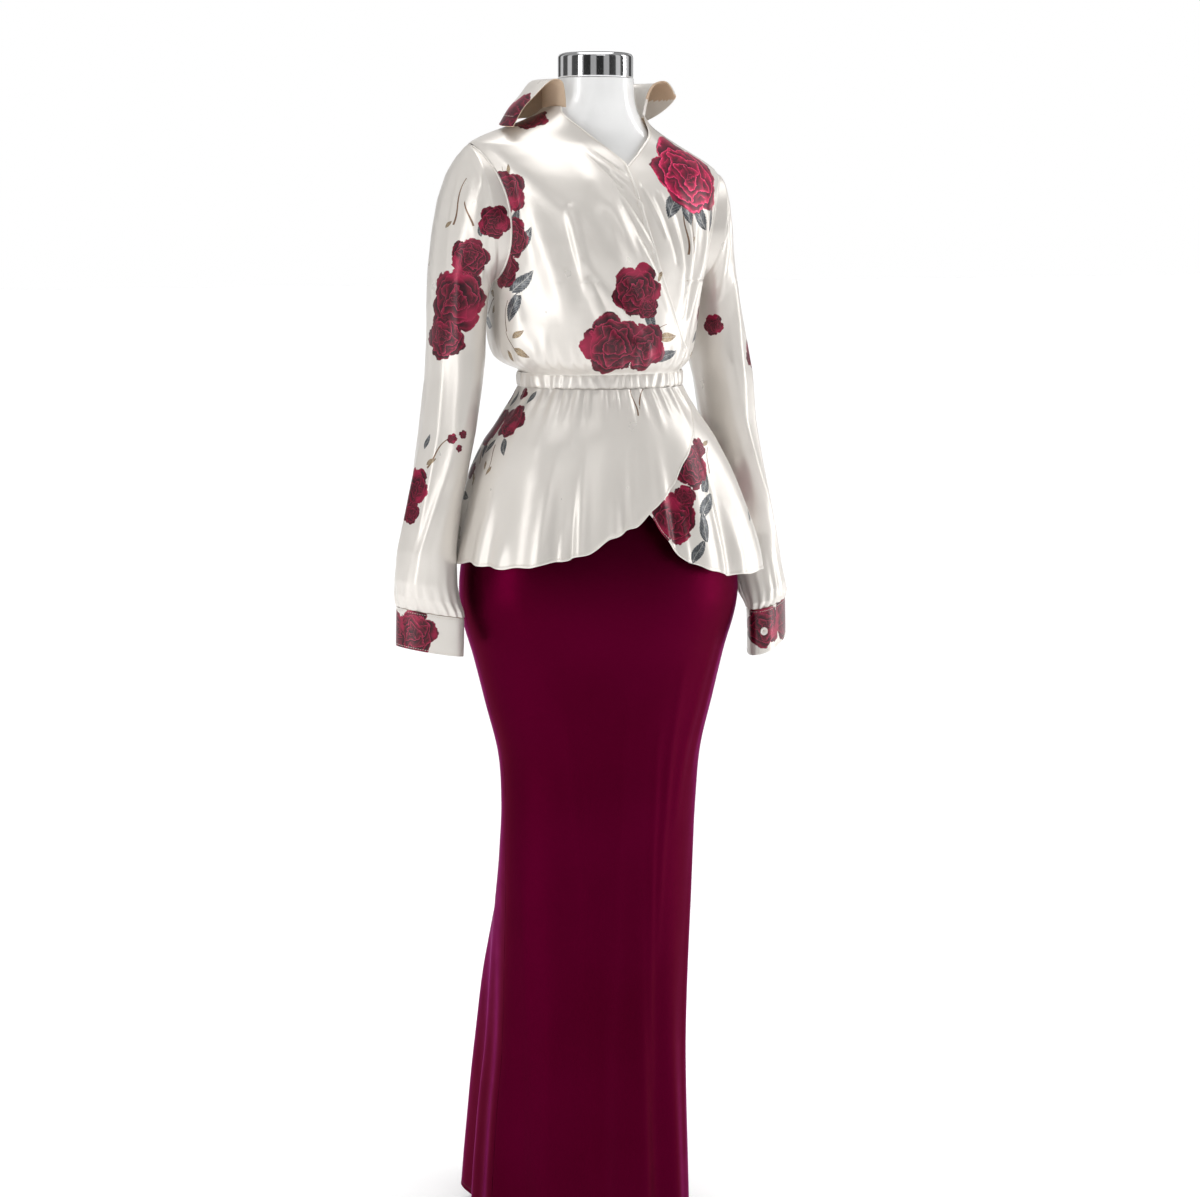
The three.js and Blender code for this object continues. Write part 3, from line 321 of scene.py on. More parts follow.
# ---- Curves ----
def ease(low, high, x):
    """0 at low, 1 at high, and smooth between them."""
    t = np.clip((x - low) / (high - low), 0, 1)
    return t * t * (3 - 2 * t)


def bell(x, wide):
    """A bell curve, 1 in its middle."""
    return np.exp(-((x / wide) ** 2))


def turn_between(angle, other):
    """The angle from other to angle, within half a turn."""
    return (angle - other + 540) % 360 - 180


def hump(fold, angle):
    """How near an angle is to the middle of a fold, from 0 to 1."""
    return bell(turn_between(angle, fold["angle"]), fold["wide"])


def wave(degrees):
    """A sine wave of an angle in degrees."""
    return np.sin(np.radians(degrees))


def smooth_step(ys, slope, i, t, span=1):
    """The share t of the way from value i to the next one, on a smooth curve with the given slopes."""
    start = ys[i] * (2 * t**3 - 3 * t**2 + 1) + slope[i] * span * (t**3 - 2 * t**2 + t)
    end = ys[i + 1] * (3 * t**2 - 2 * t**3) + slope[i + 1] * span * (t**3 - t**2)
    return start + end


def curve(rows, by, key, x):
    """A smooth curve through one column of a table, read at x in the column "by"."""
    xs, ys = rows[by], rows[key]
    slope = np.gradient(ys)
    slope[1:-1] = (ys[2:] - ys[:-2]) / (xs[2:] - xs[:-2])
    slope[0] = (ys[1] - ys[0]) / (xs[1] - xs[0])
    slope[-1] = (ys[-1] - ys[-2]) / (xs[-1] - xs[-2])
    i = np.clip(np.searchsorted(xs, x) - 1, 0, len(xs) - 2)
    span = xs[i + 1] - xs[i]
    t = np.clip((x - xs[i]) / span, 0, 1)
    return smooth_step(ys, slope, i, t, span)


def section(rows, z):
    """The half width, depths, middle and squareness of a tube at a height."""
    return {key: curve(rows, "z", key, z) for key in SECTION.split()[1:]}


def on_tube(rows, angle, z, out=0):
    """Points on a tube at angles round it and heights, moved out by "out" in their level planes."""
    s = section(rows, z)
    sin, cos = np.sin(np.radians(angle)), np.cos(np.radians(angle))
    depth = np.where(cos > 0, s["front"], s["back"])
    r = (np.abs(sin / s["side"]) ** s["square"] + np.abs(cos / depth) ** s["square"]) ** (-1 / s["square"])
    x, y = s["x"] + (r + out) * sin, s["y"] - (r + out) * cos
    return np.stack([x, y, z + 0 * x], axis=-1)


def tilted(p):
    """The slope of the shoulders, which every piece follows."""
    share = ease(*SHOULDER_RISE, p[..., 2]) * (1 - ease(*NECK_FADE, p[..., 2]))
    return p - np.stack([0 * share, 0 * share, SHOULDER_TILT * p[..., 0] * share], axis=-1)


def ridge(across, along, run_across, run_along, broad):
    """A soft ridge between two points, highest in its middle, for points given from its start in mm."""
    length2 = run_across**2 + run_along**2
    share = np.clip((across * run_across + along * run_along) / length2, 0, 1)
    away = np.hypot(across - run_across * share, along - run_along * share)
    return (0.45 + 2.2 * share * (1 - share)) * bell(away, broad)


def ridges(folds, angle, z, mm_per_degree):
    """How far a table of slanting ridges stands out at angles and heights."""
    out = 0 * (angle + z)
    for f in folds:
        across = turn_between(angle, f["angle"]) * mm_per_degree
        run = (f["toAngle"] - f["angle"]) * mm_per_degree
        out = out + f["high"] * ridge(across, z - f["z"], run, f["toZ"] - f["z"], f["broad"])
    return out


# ---- Surfaces of the blouse ----
BODICE_MM = math.radians(118)  # mm for one degree round the bodice


def seam_angle(r):
    """Half of a seam's gap, in degrees at a radius."""
    return math.degrees(SEAM / 2 / r)


def side_edge(z, sign):
    """How far round the side edge of a bodice panel is from the side, on the armhole or on the seams."""
    s = section(BLOUSE, z)
    share = (z - ARMHOLE_Z) / ARMHOLE_HIGH
    deep = ARMHOLE_DEEP * np.sqrt(np.clip(1 - share**2, 0, None))
    depth = np.where(sign > 0, s["front"], s["back"])
    reach = s["side"] * (1 - (deep / depth) ** s["square"]) ** (1 / s["square"])
    return np.maximum(np.degrees(np.arctan2(deep, reach)), np.degrees(SEAM / 2 / s["side"]))


def bodice_fold(angle, z):
    """How far the folds of the bodice stand out, fading at its seams, armholes, waist and neck."""
    turn = angle % 360
    from_side = np.minimum(np.abs(turn - 90), np.abs(turn - 270))
    sign = np.where((turn < 90) | (turn > 270), 1, -1)
    near = from_side - side_edge(z, sign)
    calm = ease(0, 13, near) * ease(*CALM_FOOT, z) * (1 - ease(*CALM_HEAD, z))
    brisk = ease(0, 6, near) * ease(*BRISK_FOOT, z) * (1 - ease(*BRISK_HEAD, z))
    out = ridges(BODICE_FOLDS, angle, z, BODICE_MM) * calm + ridges(SHARP_FOLDS, angle, z, BODICE_MM) * brisk
    for g in WAIST_GATHERS:
        high = ease(1191, 1203, z) * (1 - ease(1205, g["top"], z))
        out = out + WAIST_GATHER * g["out"] * hump(g, angle) * high * ease(0, 3, near)
    return out


def bodice(angle, z):
    return on_tube(BLOUSE, angle, z, bodice_fold(angle, z))


# The angles of the edges of the bodice's panels at a height.
def right_side(z):
    return -90 + side_edge(z, 1)


def left_side(z):
    return 90 - side_edge(z, 1)


def back_left_side(z):
    return 90 + side_edge(z, -1)


def back_right_side(z):
    return 270 - side_edge(z, -1)


def upper_edge(z):
    return curve(UPPER_EDGE, "z", "angle", z)


def lower_edge(z):
    return curve(LOWER_EDGE, "z", "angle", z)


def lap_out(angle, z):
    """How far the lapping front stands off the one under it."""
    loose = ease(WAIST_Z, WAIST_Z + 25, z) * (1 - ease(NECK_EDGE_Z - 28, NECK_EDGE_Z, z))
    full = WAIST_LAP + (LAP - WAIST_LAP) * loose
    return full * ease(0, LAP_REACH, angle - right_side(z))


def sag(angle):
    """How much lower the waist band hangs in front than behind."""
    return WAIST_BAND_SAG * (1 - np.cos(np.radians(angle))) * 0.5 - WAIST_BAND_SAG


def peplum_top(angle):
    return WAIST_Z - WAIST_BAND_H - SEAM + sag(angle)


def peplum(angle, z):
    """Points on the peplum, with its flutes, waves and gathers."""
    drop = ease(FLUTES_FROM, FLUTES_FULL, z)
    out = 0
    for f in FLUTES:
        out = out + f["out"] * hump(f, angle) * drop
    for w in PEPLUM_WAVES:
        out = out + PEPLUM_FULL * w["out"] * hump(w, angle) * ease(w["top"], 950, z) ** 1.5
    for g in PEPLUM_GATHERS:
        high = ease(1176, 1164, z) * (1 - ease(1160, g["foot"], z))
        out = out + PEPLUM_FULL * g["out"] * hump(g, angle) * high
    return on_tube(PEPLUM, angle, z, out)


def ring_point(rows, v, angle, sign, out=0):
    """Points on the ring that lies between two rows of a sleeve or cuff."""
    low = np.clip(np.floor(v).astype(int), 0, len(rows["deep"]) - 2)
    t = (v - low)[..., None]

    def at(i):
        outer = np.stack([rows["outX"][i] * sign, rows["outY"][i], rows["outZ"][i]], axis=-1)
        inner = np.stack([rows["inX"][i] * sign, rows["inY"][i], rows["inZ"][i]], axis=-1)
        middle, half = (outer + inner) / 2, (outer - inner) / 2
        length = np.linalg.norm(half, axis=-1, keepdims=True)
        across = half / length
        deep = np.array([0.0, 1.0, 0.0]) - across * across[..., 1:2]
        deep = deep / np.linalg.norm(deep, axis=-1, keepdims=True)
        cos, sin = np.cos(np.radians(angle))[..., None], np.sin(np.radians(angle))[..., None]
        grown = out[..., None] if np.ndim(out) else out
        return middle + across * (length + grown) * cos + deep * (rows["deep"][i][..., None] + grown) * sin

    return at(low) * (1 - t) + at(low + 1) * t


def armhole_point(angle, sign):
    """Points round the armhole, where a sleeve is set in."""
    z = ARMHOLE_Z + (ARMHOLE_HIGH - ARMHOLE_TOP_EASE) * np.cos(np.radians(angle))
    s = section(BLOUSE, z)
    deep = (ARMHOLE_DEEP - ARMHOLE_EASE) * np.sin(np.radians(angle))
    depth = np.where(deep < 0, s["front"], s["back"])
    reach = s["side"] * (1 - (np.abs(deep) / depth) ** s["square"]) ** (1 / s["square"])
    return np.stack([s["x"] + sign * reach, s["y"] + deep, z], axis=-1)


SLEEVE_MM = math.radians(50)  # mm for one degree round a sleeve
SLEEVE_ROW_MM = 36  # from one section of a sleeve to the next, on average


def sleeve_surface(rows, sign):
    """A sleeve as a function of the angle round it and the row of its table."""
    last = len(rows["deep"])

    def surface(angle, v):
        out = 0 * angle
        for f in SLEEVE_FOLDS:
            run = ease(f["start"], f["start"] + 2, v) * (1 - ease(f["stop"] - 2, f["stop"], v))
            out = out + f["out"] * hump(f, angle) * run
        for f in SLEEVE_CREASES:
            across = turn_between(angle, f["angle"]) * SLEEVE_MM
            run_across = (f["toAngle"] - f["angle"]) * SLEEVE_MM
            run = (f["toV"] - f["v"]) * SLEEVE_ROW_MM
            out = out + f["high"] * ridge(across, (v - f["v"]) * SLEEVE_ROW_MM, run_across, run, f["broad"])
        gathers = SLEEVE_GATHER * wave(angle * 17 + 40 * wave(angle * 3))
        out = out + gathers * ease(last - 4, last - 0.6, v)
        out = out * ease(0, 1.5, v)
        ring = ring_point(rows, np.clip(v - 1, 0, None), angle, sign, out)
        head = armhole_point(angle, sign)
        t = np.clip(v, 0, 1)[..., None]
        return head * (1 - t) + ring * t

    return surface


def cuff_lift(angle, open_at):
    """How far the lapping end of a cuff stands off the end under it."""
    return CUFF_LIFT * (1 - ease(open_at + CUFF_OVERLAP + 4, open_at + CUFF_OVERLAP + 34, angle))


def collar_surface(u, v):
    """Points on the collar, from its right end (-1) to its left (1) and by rows of its table."""
    swing = COLLAR_SWING * ease(2.4, 6.5, v) * ease(0.45, 1, u)
    angle = 180 + u * (180 - COLLAR_END) - swing
    low = np.clip(np.floor(v).astype(int), 0, len(COLLAR["backUp"]) - 2)
    t = v - low

    def read(key):
        return smooth_step(COLLAR[key], np.gradient(COLLAR[key]), low, t)

    share = ease(0.35, 1, np.abs(u))
    out_end = np.where(u > 0, read("rightOut"), read("leftOut"))
    up_end = np.where(u > 0, read("rightUp"), read("leftUp"))
    out = read("backOut") + (out_end - read("backOut")) * share
    up = read("backUp") + (up_end - read("backUp")) * share
    p = on_tube(BLOUSE, angle, NECK_EDGE_Z + 0 * u, out)
    return p + np.stack([0 * u, 0 * u, SEAM + up], axis=-1)


# ---- Surface of the skirt ----
SKIRT_MM = math.radians(125)


def skirt(angle, z):
    """Points on the skirt, with its creases and folds."""
    out = ridges(SKIRT_CREASES, angle, z, SKIRT_MM)
    for f in SKIRT_FOLDS:
        out = out + f["out"] * hump(f, angle) * ease(f["top"], 60, z) ** 1.2
    return on_tube(SKIRT, angle, z, out)


# ---- Meshes ----
def unit(v):
    """Vectors of length 1."""
    return v / np.maximum(np.linalg.norm(v, axis=-1, keepdims=True), 1e-9)


def normals_of(p, wraps):
    """Normals of a grid of points, rows by columns."""
    if wraps:
        wide = np.concatenate([p[:, -2:-1], p, p[:, 1:2]], axis=1)
        across = (wide[:, 2:] - wide[:, :-2]) / 2
    else:
        across = np.gradient(p, axis=1)
    return unit(np.cross(across, np.gradient(p, axis=0)))


def make_mesh(name, points, faces, materials, face_material=None, sharp=50):
    """A smooth mesh in the scene, from points in mm, with edges sharper than "sharp" degrees kept."""
    mesh = bpy.data.meshes.new(name)
    mesh.from_pydata((points * MM).tolist(), [], faces)
    mesh.polygons.foreach_set("use_smooth", [True] * len(mesh.polygons))
    mesh.set_sharp_from_angle(angle=math.radians(sharp))
    for m in materials:
        mesh.materials.append(m)
    if face_material is not None:
        mesh.polygons.foreach_set("material_index", face_material)
    mesh.validate()
    piece = bpy.data.objects.new(name, mesh)
    bpy.context.scene.collection.objects.link(piece)
    return piece


def ring_faces(rings, sides, closed=False):
    """Faces of a tube between rings of points, with capped ends unless it is closed on itself."""
    faces = []
    for ring in range(rings if closed else rings - 1):
        low, high = ring * sides, (ring + 1) % rings * sides
        for i in range(sides):
            k = (i + 1) % sides
            faces.append((low + i, low + k, high + k, high + i))
    if not closed:
        faces.append(tuple(range(sides))[::-1])
        faces.append(tuple(range((rings - 1) * sides, rings * sides)))
    return faces


def shell(name, us, vs, surface, materials, lift=None, thick=None, side=1, wraps=False, print_on=None):
    """A thin cloth on a surface, with its outer face "lift" out from it. The second material is its wrong side."""
    u, v = np.meshgrid(us, vs)
    p = surface(u, v)
    n = normals_of(p, wraps) * side
    up = (lift(u, v) if lift else 0 * u)[..., None]
    depth = (thick(u, v) if thick else CLOTH + 0 * u)[..., None]
    outer = tilted(p + n * (up + (depth - CLOTH) * 0.5))
    inner = tilted(p + n * (up - (depth + CLOTH) * 0.5))
    rows, columns = u.shape
    used = columns - 1 if wraps else columns
    points = np.concatenate([outer[:, :used].reshape(-1, 3), inner[:, :used].reshape(-1, 3)])
    index = np.arange(rows)[:, None] * used + np.arange(columns)[None, :] % used
    a, b = index[:-1, :-1].ravel(), index[:-1, 1:].ravel()
    c, d = index[1:, 1:].ravel(), index[1:, :-1].ravel()
    far = rows * used
    outside = np.stack([a, b, c, d], axis=1)
    inside = np.stack([a, d, c, b], axis=1) + far
    rims = []
    low, high = index[0], index[-1]
    rims.append(np.stack([low[:-1], low[:-1] + far, low[1:] + far, low[1:]], axis=1))
    rims.append(np.stack([high[:-1], high[1:], high[1:] + far, high[:-1] + far], axis=1))
    if not wraps:
        left, right = index[:, 0], index[:, -1]
        rims.append(np.stack([left[:-1], left[1:], left[1:] + far, left[:-1] + far], axis=1))
        rims.append(np.stack([right[:-1], right[:-1] + far, right[1:] + far, right[1:]], axis=1))
    rim = np.concatenate(rims)
    faces = np.concatenate([outside, inside, rim])
    if side < 0:
        faces = faces[:, ::-1]
    kind = np.concatenate([np.zeros(len(outside)), np.ones(len(inside)), np.zeros(len(rim))]).astype(int)
    piece = make_mesh(name, points, faces.tolist(), materials, kind.tolist())
    if print_on is not None:
        print_cloth(piece, print_on, outer, n)
    return piece


# ---- Print ----
def motifs(kind, piece, *rows):
    """Motifs of one kind printed on one piece of the blouse.

    Each has its place by angle and height, its size in mm, its turn in degrees and a tone. A place on a sleeve or
    cuff is an angle from its outside round to its back, and a height on the collar is ten times its row.
    """
    return [dict(zip(("kind", "piece", "angle", "z", "size", "turn", "tone"), (kind, piece, *row))) for row in rows]


MOTIFS = [
    *motifs("rose", "upper_front",
        (-76, 1398, 29, 20, 0.1), (-80, 1360, 27, 70, 0.7), (-77, 1322, 27, 130, 0.4),
        (3, 1298, 35, 10, 0.35), (12, 1277, 17, 60, 0.9), (-10, 1230, 42, 100, 0.6),
        (12, 1224, 34, 40, 0.15), (-76, 1494, 24, 20, 0.8)),
    *motifs("leaf", "upper_front",
        (-62, 1352, 22, 62, 0), (-66, 1378, 16, 75, 0), (-64, 1304, 25, 48, 0), (-69, 1276, 24, 72, 0),
        (-67, 1240, 11, 35, 1), (-66, 1219, 13, -20, 1), (-76, 1214, 9, -60, 1), (-68, 1432, 7, 105, 1),
        (15, 1256, 19, -48, 0), (30, 1236, 17, 10, 1), (31, 1214, 20, 24, 0), (17, 1312, 9, 60, 1)),
    *motifs("stem", "upper_front",
        (-72, 1230, 20, 118, 0.4), (-74, 1262, 22, 80, 1.2), (-70, 1424, 12, 110, 0.2),
        (20, 1244, 18, 30, 0.8)),
    *motifs("stem", "upper_peplum",
        (3, 1156, 22, 84, 0.3), (9, 1156, 22, 58, 1)),
    *motifs("rose", "lower_front",
        (56, 1450, 58, 15, 1)),
    *motifs("leaf", "lower_front",
        (36, 1412, 29, 62, 0), (43, 1406, 27, 92, 0), (51, 1402, 28, 118, 0), (62, 1388, 26, 80, 0),
        (45, 1362, 6, 40, 1)),
    *motifs("stem", "lower_front",
        (39, 1372, 30, 86, 0.2), (45, 1372, 28, 80, 1.3)),
    *motifs("rose", "lower_peplum",
        (34, 1070, 31, 30, 0.5), (44, 1092, 14, 80, 0.85), (17, 1008, 35, 140, 0.2),
        (26, 1034, 17, 10, 0.65)),
    *motifs("leaf", "lower_peplum",
        (41, 1050, 20, 70, 0), (38, 1020, 25, 52, 0), (33, 994, 23, 96, 0), (29, 966, 20, 60, 0),
        (52, 1098, 8, 30, 1)),
    *motifs("stem", "lower_peplum",
        (49, 1078, 18, 70, 0.9)),
    *motifs("rose", "sleeve_right",
        (-66, 1272, 44, 10, 0.3), (-44, 1228, 33, 70, 0.8), (-80, 1322, 26, 130, 0.55),
        (-100, 1382, 22, 40, 0.1), (-26, 1044, 28, 20, 0.45), (-36, 1018, 17, 90, 0.75),
        (-88, 1108, 7, 10, 0.3), (-100, 1118, 6, 60, 0.9), (-100, 1096, 5, 30, 0.6)),
    *motifs("leaf", "sleeve_right",
        (-96, 1326, 11, 80, 0), (-84, 1352, 10, 100, 0), (-34, 1322, 8, 40, 1), (-32, 1106, 11, 80, 0),
        (-56, 1080, 9, 40, 1)),
    *motifs("stem", "sleeve_right",
        (-44, 1345, 30, 74, 0.2), (-58, 1350, 26, 104, 1.1), (-64, 1092, 24, 48, 0.5)),
    *motifs("rose", "cuff_right",
        (-62, 858, 32, 20, 0.7), (-20, 860, 26, 100, 0.2)),
    *motifs("rose", "sleeve_left",
        (-134, 1262, 15, 10, 0.4), (-36, 1196, 22, 60, 0.7)),
    *motifs("rose", "cuff_left",
        (-150, 848, 32, 30, 0.2), (-88, 846, 32, 110, 0.6)),
    *motifs("leaf", "cuff_left",
        (-168, 848, 14, 84, 1)),
    *motifs("rose", "collar",
        (296, 62, 34, 100, 0.3)),
    *motifs("leaf", "collar",
        (262, 58, 16, 10, 0)),
]
# Bunches of a rose with leaves and a stem on the sides that hang away from the front.
BUNCHES = rows_of(
    "piece angle z size turn",
    ("lower_front", 76, 1262, 26, 30), ("back", 122, 1430, 36, 20), ("back", 158, 1352, 42, 200),
    ("back", 196, 1452, 30, 90), ("back", 222, 1368, 34, 320), ("back", 180, 1258, 30, 60),
    ("back", 236, 1256, 38, 150), ("back", 128, 1262, 32, 280), ("upper_peplum", -80, 1128, 26, 40),
    ("lower_peplum", 78, 1018, 30, 200), ("back_peplum", 262, 1120, 30, 60),
    ("back_peplum", 112, 1088, 32, 140), ("back_peplum", 148, 1010, 38, 20),
    ("back_peplum", 188, 1092, 34, 250), ("back_peplum", 214, 998, 30, 100),
    ("back_peplum", 244, 1040, 34, 330), ("sleeve_right", 70, 1330, 28, 30),
    ("sleeve_right", 110, 1180, 32, 200), ("sleeve_right", 60, 1010, 30, 110),
    ("sleeve_right", 150, 1080, 24, 300), ("sleeve_left", 60, 1352, 32, 60),
    ("sleeve_left", 100, 1220, 28, 220), ("sleeve_left", 40, 1062, 32, 150),
    ("sleeve_left", 130, 985, 26, 20), ("sleeve_left", 0, 935, 20, 260), ("cuff_right", 60, 860, 18, 0),
    ("cuff_left", 40, 850, 20, 90), ("collar", 180, 66, 22, 0), ("collar", 222, 64, 15, 50),
)
# What a bunch holds beside its rose: the direction and distance from its middle, the size, all in the rose's sizes.
BUNCH_PARTS = rows_of(
    "kind toward away size lean tone",
    ("leaf", 205, 1.25, 0.5, 205, 0), ("leaf", 250, 1.3, 0.55, 262, 0), ("leaf", 20, 1.25, 0.42, 30, 0),
    ("stem", 228, 1.7, 0.75, 232, 0.6), ("leaf", 232, 2.35, 0.3, 205, 1), ("leaf", 222, 2.1, 0.26, 262, 1),
    ("rose", 60, 1.35, 0.36, 80, 0.9),
)


def mm_per_degree(piece):
    """Length of one degree on a piece, in mm."""
    if piece.startswith("sleeve"):
        return SLEEVE_MM
    return SLEEVE_MM / 2 if piece.startswith("cuff") else BODICE_MM


def bunch(b):
    """The motifs of a bunch, its rose first."""
    made = [dict(kind="rose", tone=(b["angle"] % 10) / 10, **b)]
    for part in BUNCH_PARTS:
        toward = math.radians(part["toward"] + b["turn"])
        across = part["away"] * b["size"] * math.cos(toward)
        made.append(
            {
                "kind": part["kind"],
                "piece": b["piece"],
                "angle": b["angle"] + across / mm_per_degree(b["piece"]),
                "z": b["z"] + part["away"] * b["size"] * math.sin(toward),
                "size": part["size"] * b["size"],
                "turn": part["lean"] + b["turn"],
                "tone": part["tone"],
            }
        )
    return made


PRINT = MOTIFS + [motif for b in BUNCHES for motif in bunch(b)]


def motif_frames(kind, piece, outer, n):
    """Centre, right, up and size of each motif of a kind on a piece, in its own turned axes."""
    found = []
    for m in PRINT:
        if m["kind"] != kind or m["piece"] != piece:
            continue
        centre = motif_place(m)
        flat = outer.reshape(-1, 3)
        nearest = int(np.argmin(np.linalg.norm(flat - centre, axis=1)))
        normal = n.reshape(-1, 3)[nearest]
        right = unit(np.cross(np.array([0.0, 0.0, 1.0]), normal))
        up = np.cross(normal, right)
        c, s = math.cos(math.radians(m["turn"])), math.sin(math.radians(m["turn"]))
        found.append((flat[nearest], right * c + up * s, up * c - right * s, m["size"], m["tone"]))
    return found


def local_places(frames, corners):
    """Each face corner's place in the motif that is nearest to its face, in the motif's sizes."""
    places = np.full(corners.shape[:2] + (3,), 9.0)
    if not frames:
        return places
    middle = corners.mean(axis=1)
    reach = np.stack([np.linalg.norm(middle - f[0], axis=1) / f[3] for f in frames], axis=1)
    best = reach.argmin(axis=1)
    for i, (centre, right, up, size, tone) in enumerate(frames):
        mine = best == i
        away = corners[mine] - centre
        flat = np.stack([away @ right, away @ up], axis=-1)
        length = np.linalg.norm(away, axis=-1, keepdims=True)
        places[mine, :, :2] = unit(flat) * length / size
        places[mine, :, 2] = tone
    return places


def print_cloth(piece, key, outer, n):
    """Gives each face corner its place in the nearest rose, leaf and stem."""
    mesh = piece.data
    starts = np.empty(len(mesh.polygons), dtype=int)
    mesh.polygons.foreach_get("loop_start", starts)
    vertex = np.empty(len(mesh.loops), dtype=int)
    mesh.loops.foreach_get("vertex_index", vertex)
    place = np.empty(len(mesh.vertices) * 3)
    mesh.vertices.foreach_get("co", place)
    place = place.reshape(-1, 3) / MM
    corners = place[vertex].reshape(-1, 4, 3)
    for kind in ("rose", "leaf", "stem"):
        values = local_places(motif_frames(kind, key, outer, n), corners)
        layer = mesh.attributes.new(kind, "FLOAT_VECTOR", "CORNER")
        layer.data.foreach_set("vector", values.reshape(-1))


SLEEVE_ROWS = dict(
    sleeve_right=RIGHT_SLEEVE, sleeve_left=LEFT_SLEEVE, cuff_right=RIGHT_CUFF, cuff_left=LEFT_CUFF
)


def motif_place(m):
    """The middle of a motif in mm, before it is moved onto the nearest point of the cloth."""
    angle, z = np.array(float(m["angle"])), np.array(float(m["z"]))
    part, _, hand = m["piece"].partition("_")
    if part in ("sleeve", "cuff"):
        rows = SLEEVE_ROWS[m["piece"]]
        heights = (rows["outZ"] + rows["inZ"]) / 2
        v = np.interp(-z, -heights, np.arange(len(heights)))
        return tilted(ring_point(rows, np.array(v), angle, -1 if hand == "right" else 1))
    if part == "collar":
        u = turn_between(angle, 180) / (180 - COLLAR_END)
        return collar_surface(np.array(u), np.array(z / 10))
    return tilted(on_tube(BLOUSE if z > WAIST_Z - WAIST_BAND_H else PEPLUM, angle, z))


# ---- Materials ----
class Nodes:
    """Adds shader nodes to a tree and links them. Each value is a number, a colour or another node's output."""

    def __init__(self, tree):
        self.tree = tree

    def add(self, kind, settings=None, **inputs):
        node = self.tree.nodes.new(kind)
        for key, value in (settings or {}).items():
            setattr(node, key, value)
        for key, value in inputs.items():
            self.feed(node.inputs[key.replace("_", " ")], value)
        return node

    def feed(self, socket, value):
        if isinstance(value, bpy.types.NodeSocket):
            self.tree.links.new(value, socket)
        else:
            socket.default_value = value

    def give(self, out, **values):
        """Ends the tree with the given outputs."""
        for key, value in values.items():
            self.feed(out.inputs[key], value)
        return self.tree

    def math(self, operation, *values):
        node = self.tree.nodes.new("ShaderNodeMath")
        node.operation = operation
        for socket, value in zip(node.inputs, values):
            self.feed(socket, value)
        return node.outputs[0]

    def plus(self, *values):
        return self.math("ADD", *values)

    def minus(self, *values):
        return self.math("SUBTRACT", *values)

    def times(self, *values):
        return self.math("MULTIPLY", *values)

    def bump(self, height, distance, strength, **more):
        node = self.add("ShaderNodeBump", Height=height, Distance=distance, Strength=strength, **more)
        return node.outputs["Normal"]

    def noise(self, place, scale, detail=3.0, rough=0.5):
        node = self.add("ShaderNodeTexNoise", Vector=place, Scale=scale, Detail=detail, Roughness=rough)
        return node.outputs["Fac"]

    def mix(self, share, first, second, blend="MIX"):
        node = self.tree.nodes.new("ShaderNodeMix")
        node.data_type = "RGBA"
        node.blend_type = blend
        for key, value in ((0, share), (6, first), (7, second)):
            self.feed(node.inputs[key], value)
        return node.outputs[2]

    def ramp(self, value, *stops):
        node = self.tree.nodes.new("ShaderNodeValToRGB")
        elements = node.color_ramp.elements
        while len(elements) < len(stops):
            elements.new(1.0)
        for element, (place, colour) in zip(elements, stops):
            element.position = place
            element.color = colour
        self.feed(node.inputs[0], value)
        return node.outputs[0]

    def between(self, value, low, high):
        """0 below low, 1 above high, and smooth between."""
        node = self.tree.nodes.new("ShaderNodeMapRange")
        node.interpolation_type = "SMOOTHSTEP"
        for key, given in (("Value", value), ("From Min", low), ("From Max", high)):
            self.feed(node.inputs[key], given)
        return node.outputs[0]


def grey(level):
    return (level, level, level, 1.0)


def colour(r, g, b):
    return (r, g, b, 1.0)


def print_group(name):
    """A node group for one kind of motif, which gives its colour and where it is printed."""
    tree = bpy.data.node_groups.new(name, "ShaderNodeTree")
    for key, kind in (("Colour", "NodeSocketColor"), ("Mask", "NodeSocketFloat")):
        tree.interface.new_socket(key, in_out="OUTPUT", socket_type=kind)
    return Nodes(tree), tree.nodes.new("NodeGroupOutput")


def motif_axes(n, attribute):
    """The place in the nearest motif of a kind: along it, across it and its tone."""
    place = n.add("ShaderNodeAttribute", {"attribute_name": attribute}).outputs["Vector"]
    parts = n.add("ShaderNodeSeparateXYZ", Vector=place)
    return place, parts.outputs["X"], parts.outputs["Y"], parts.outputs["Z"]


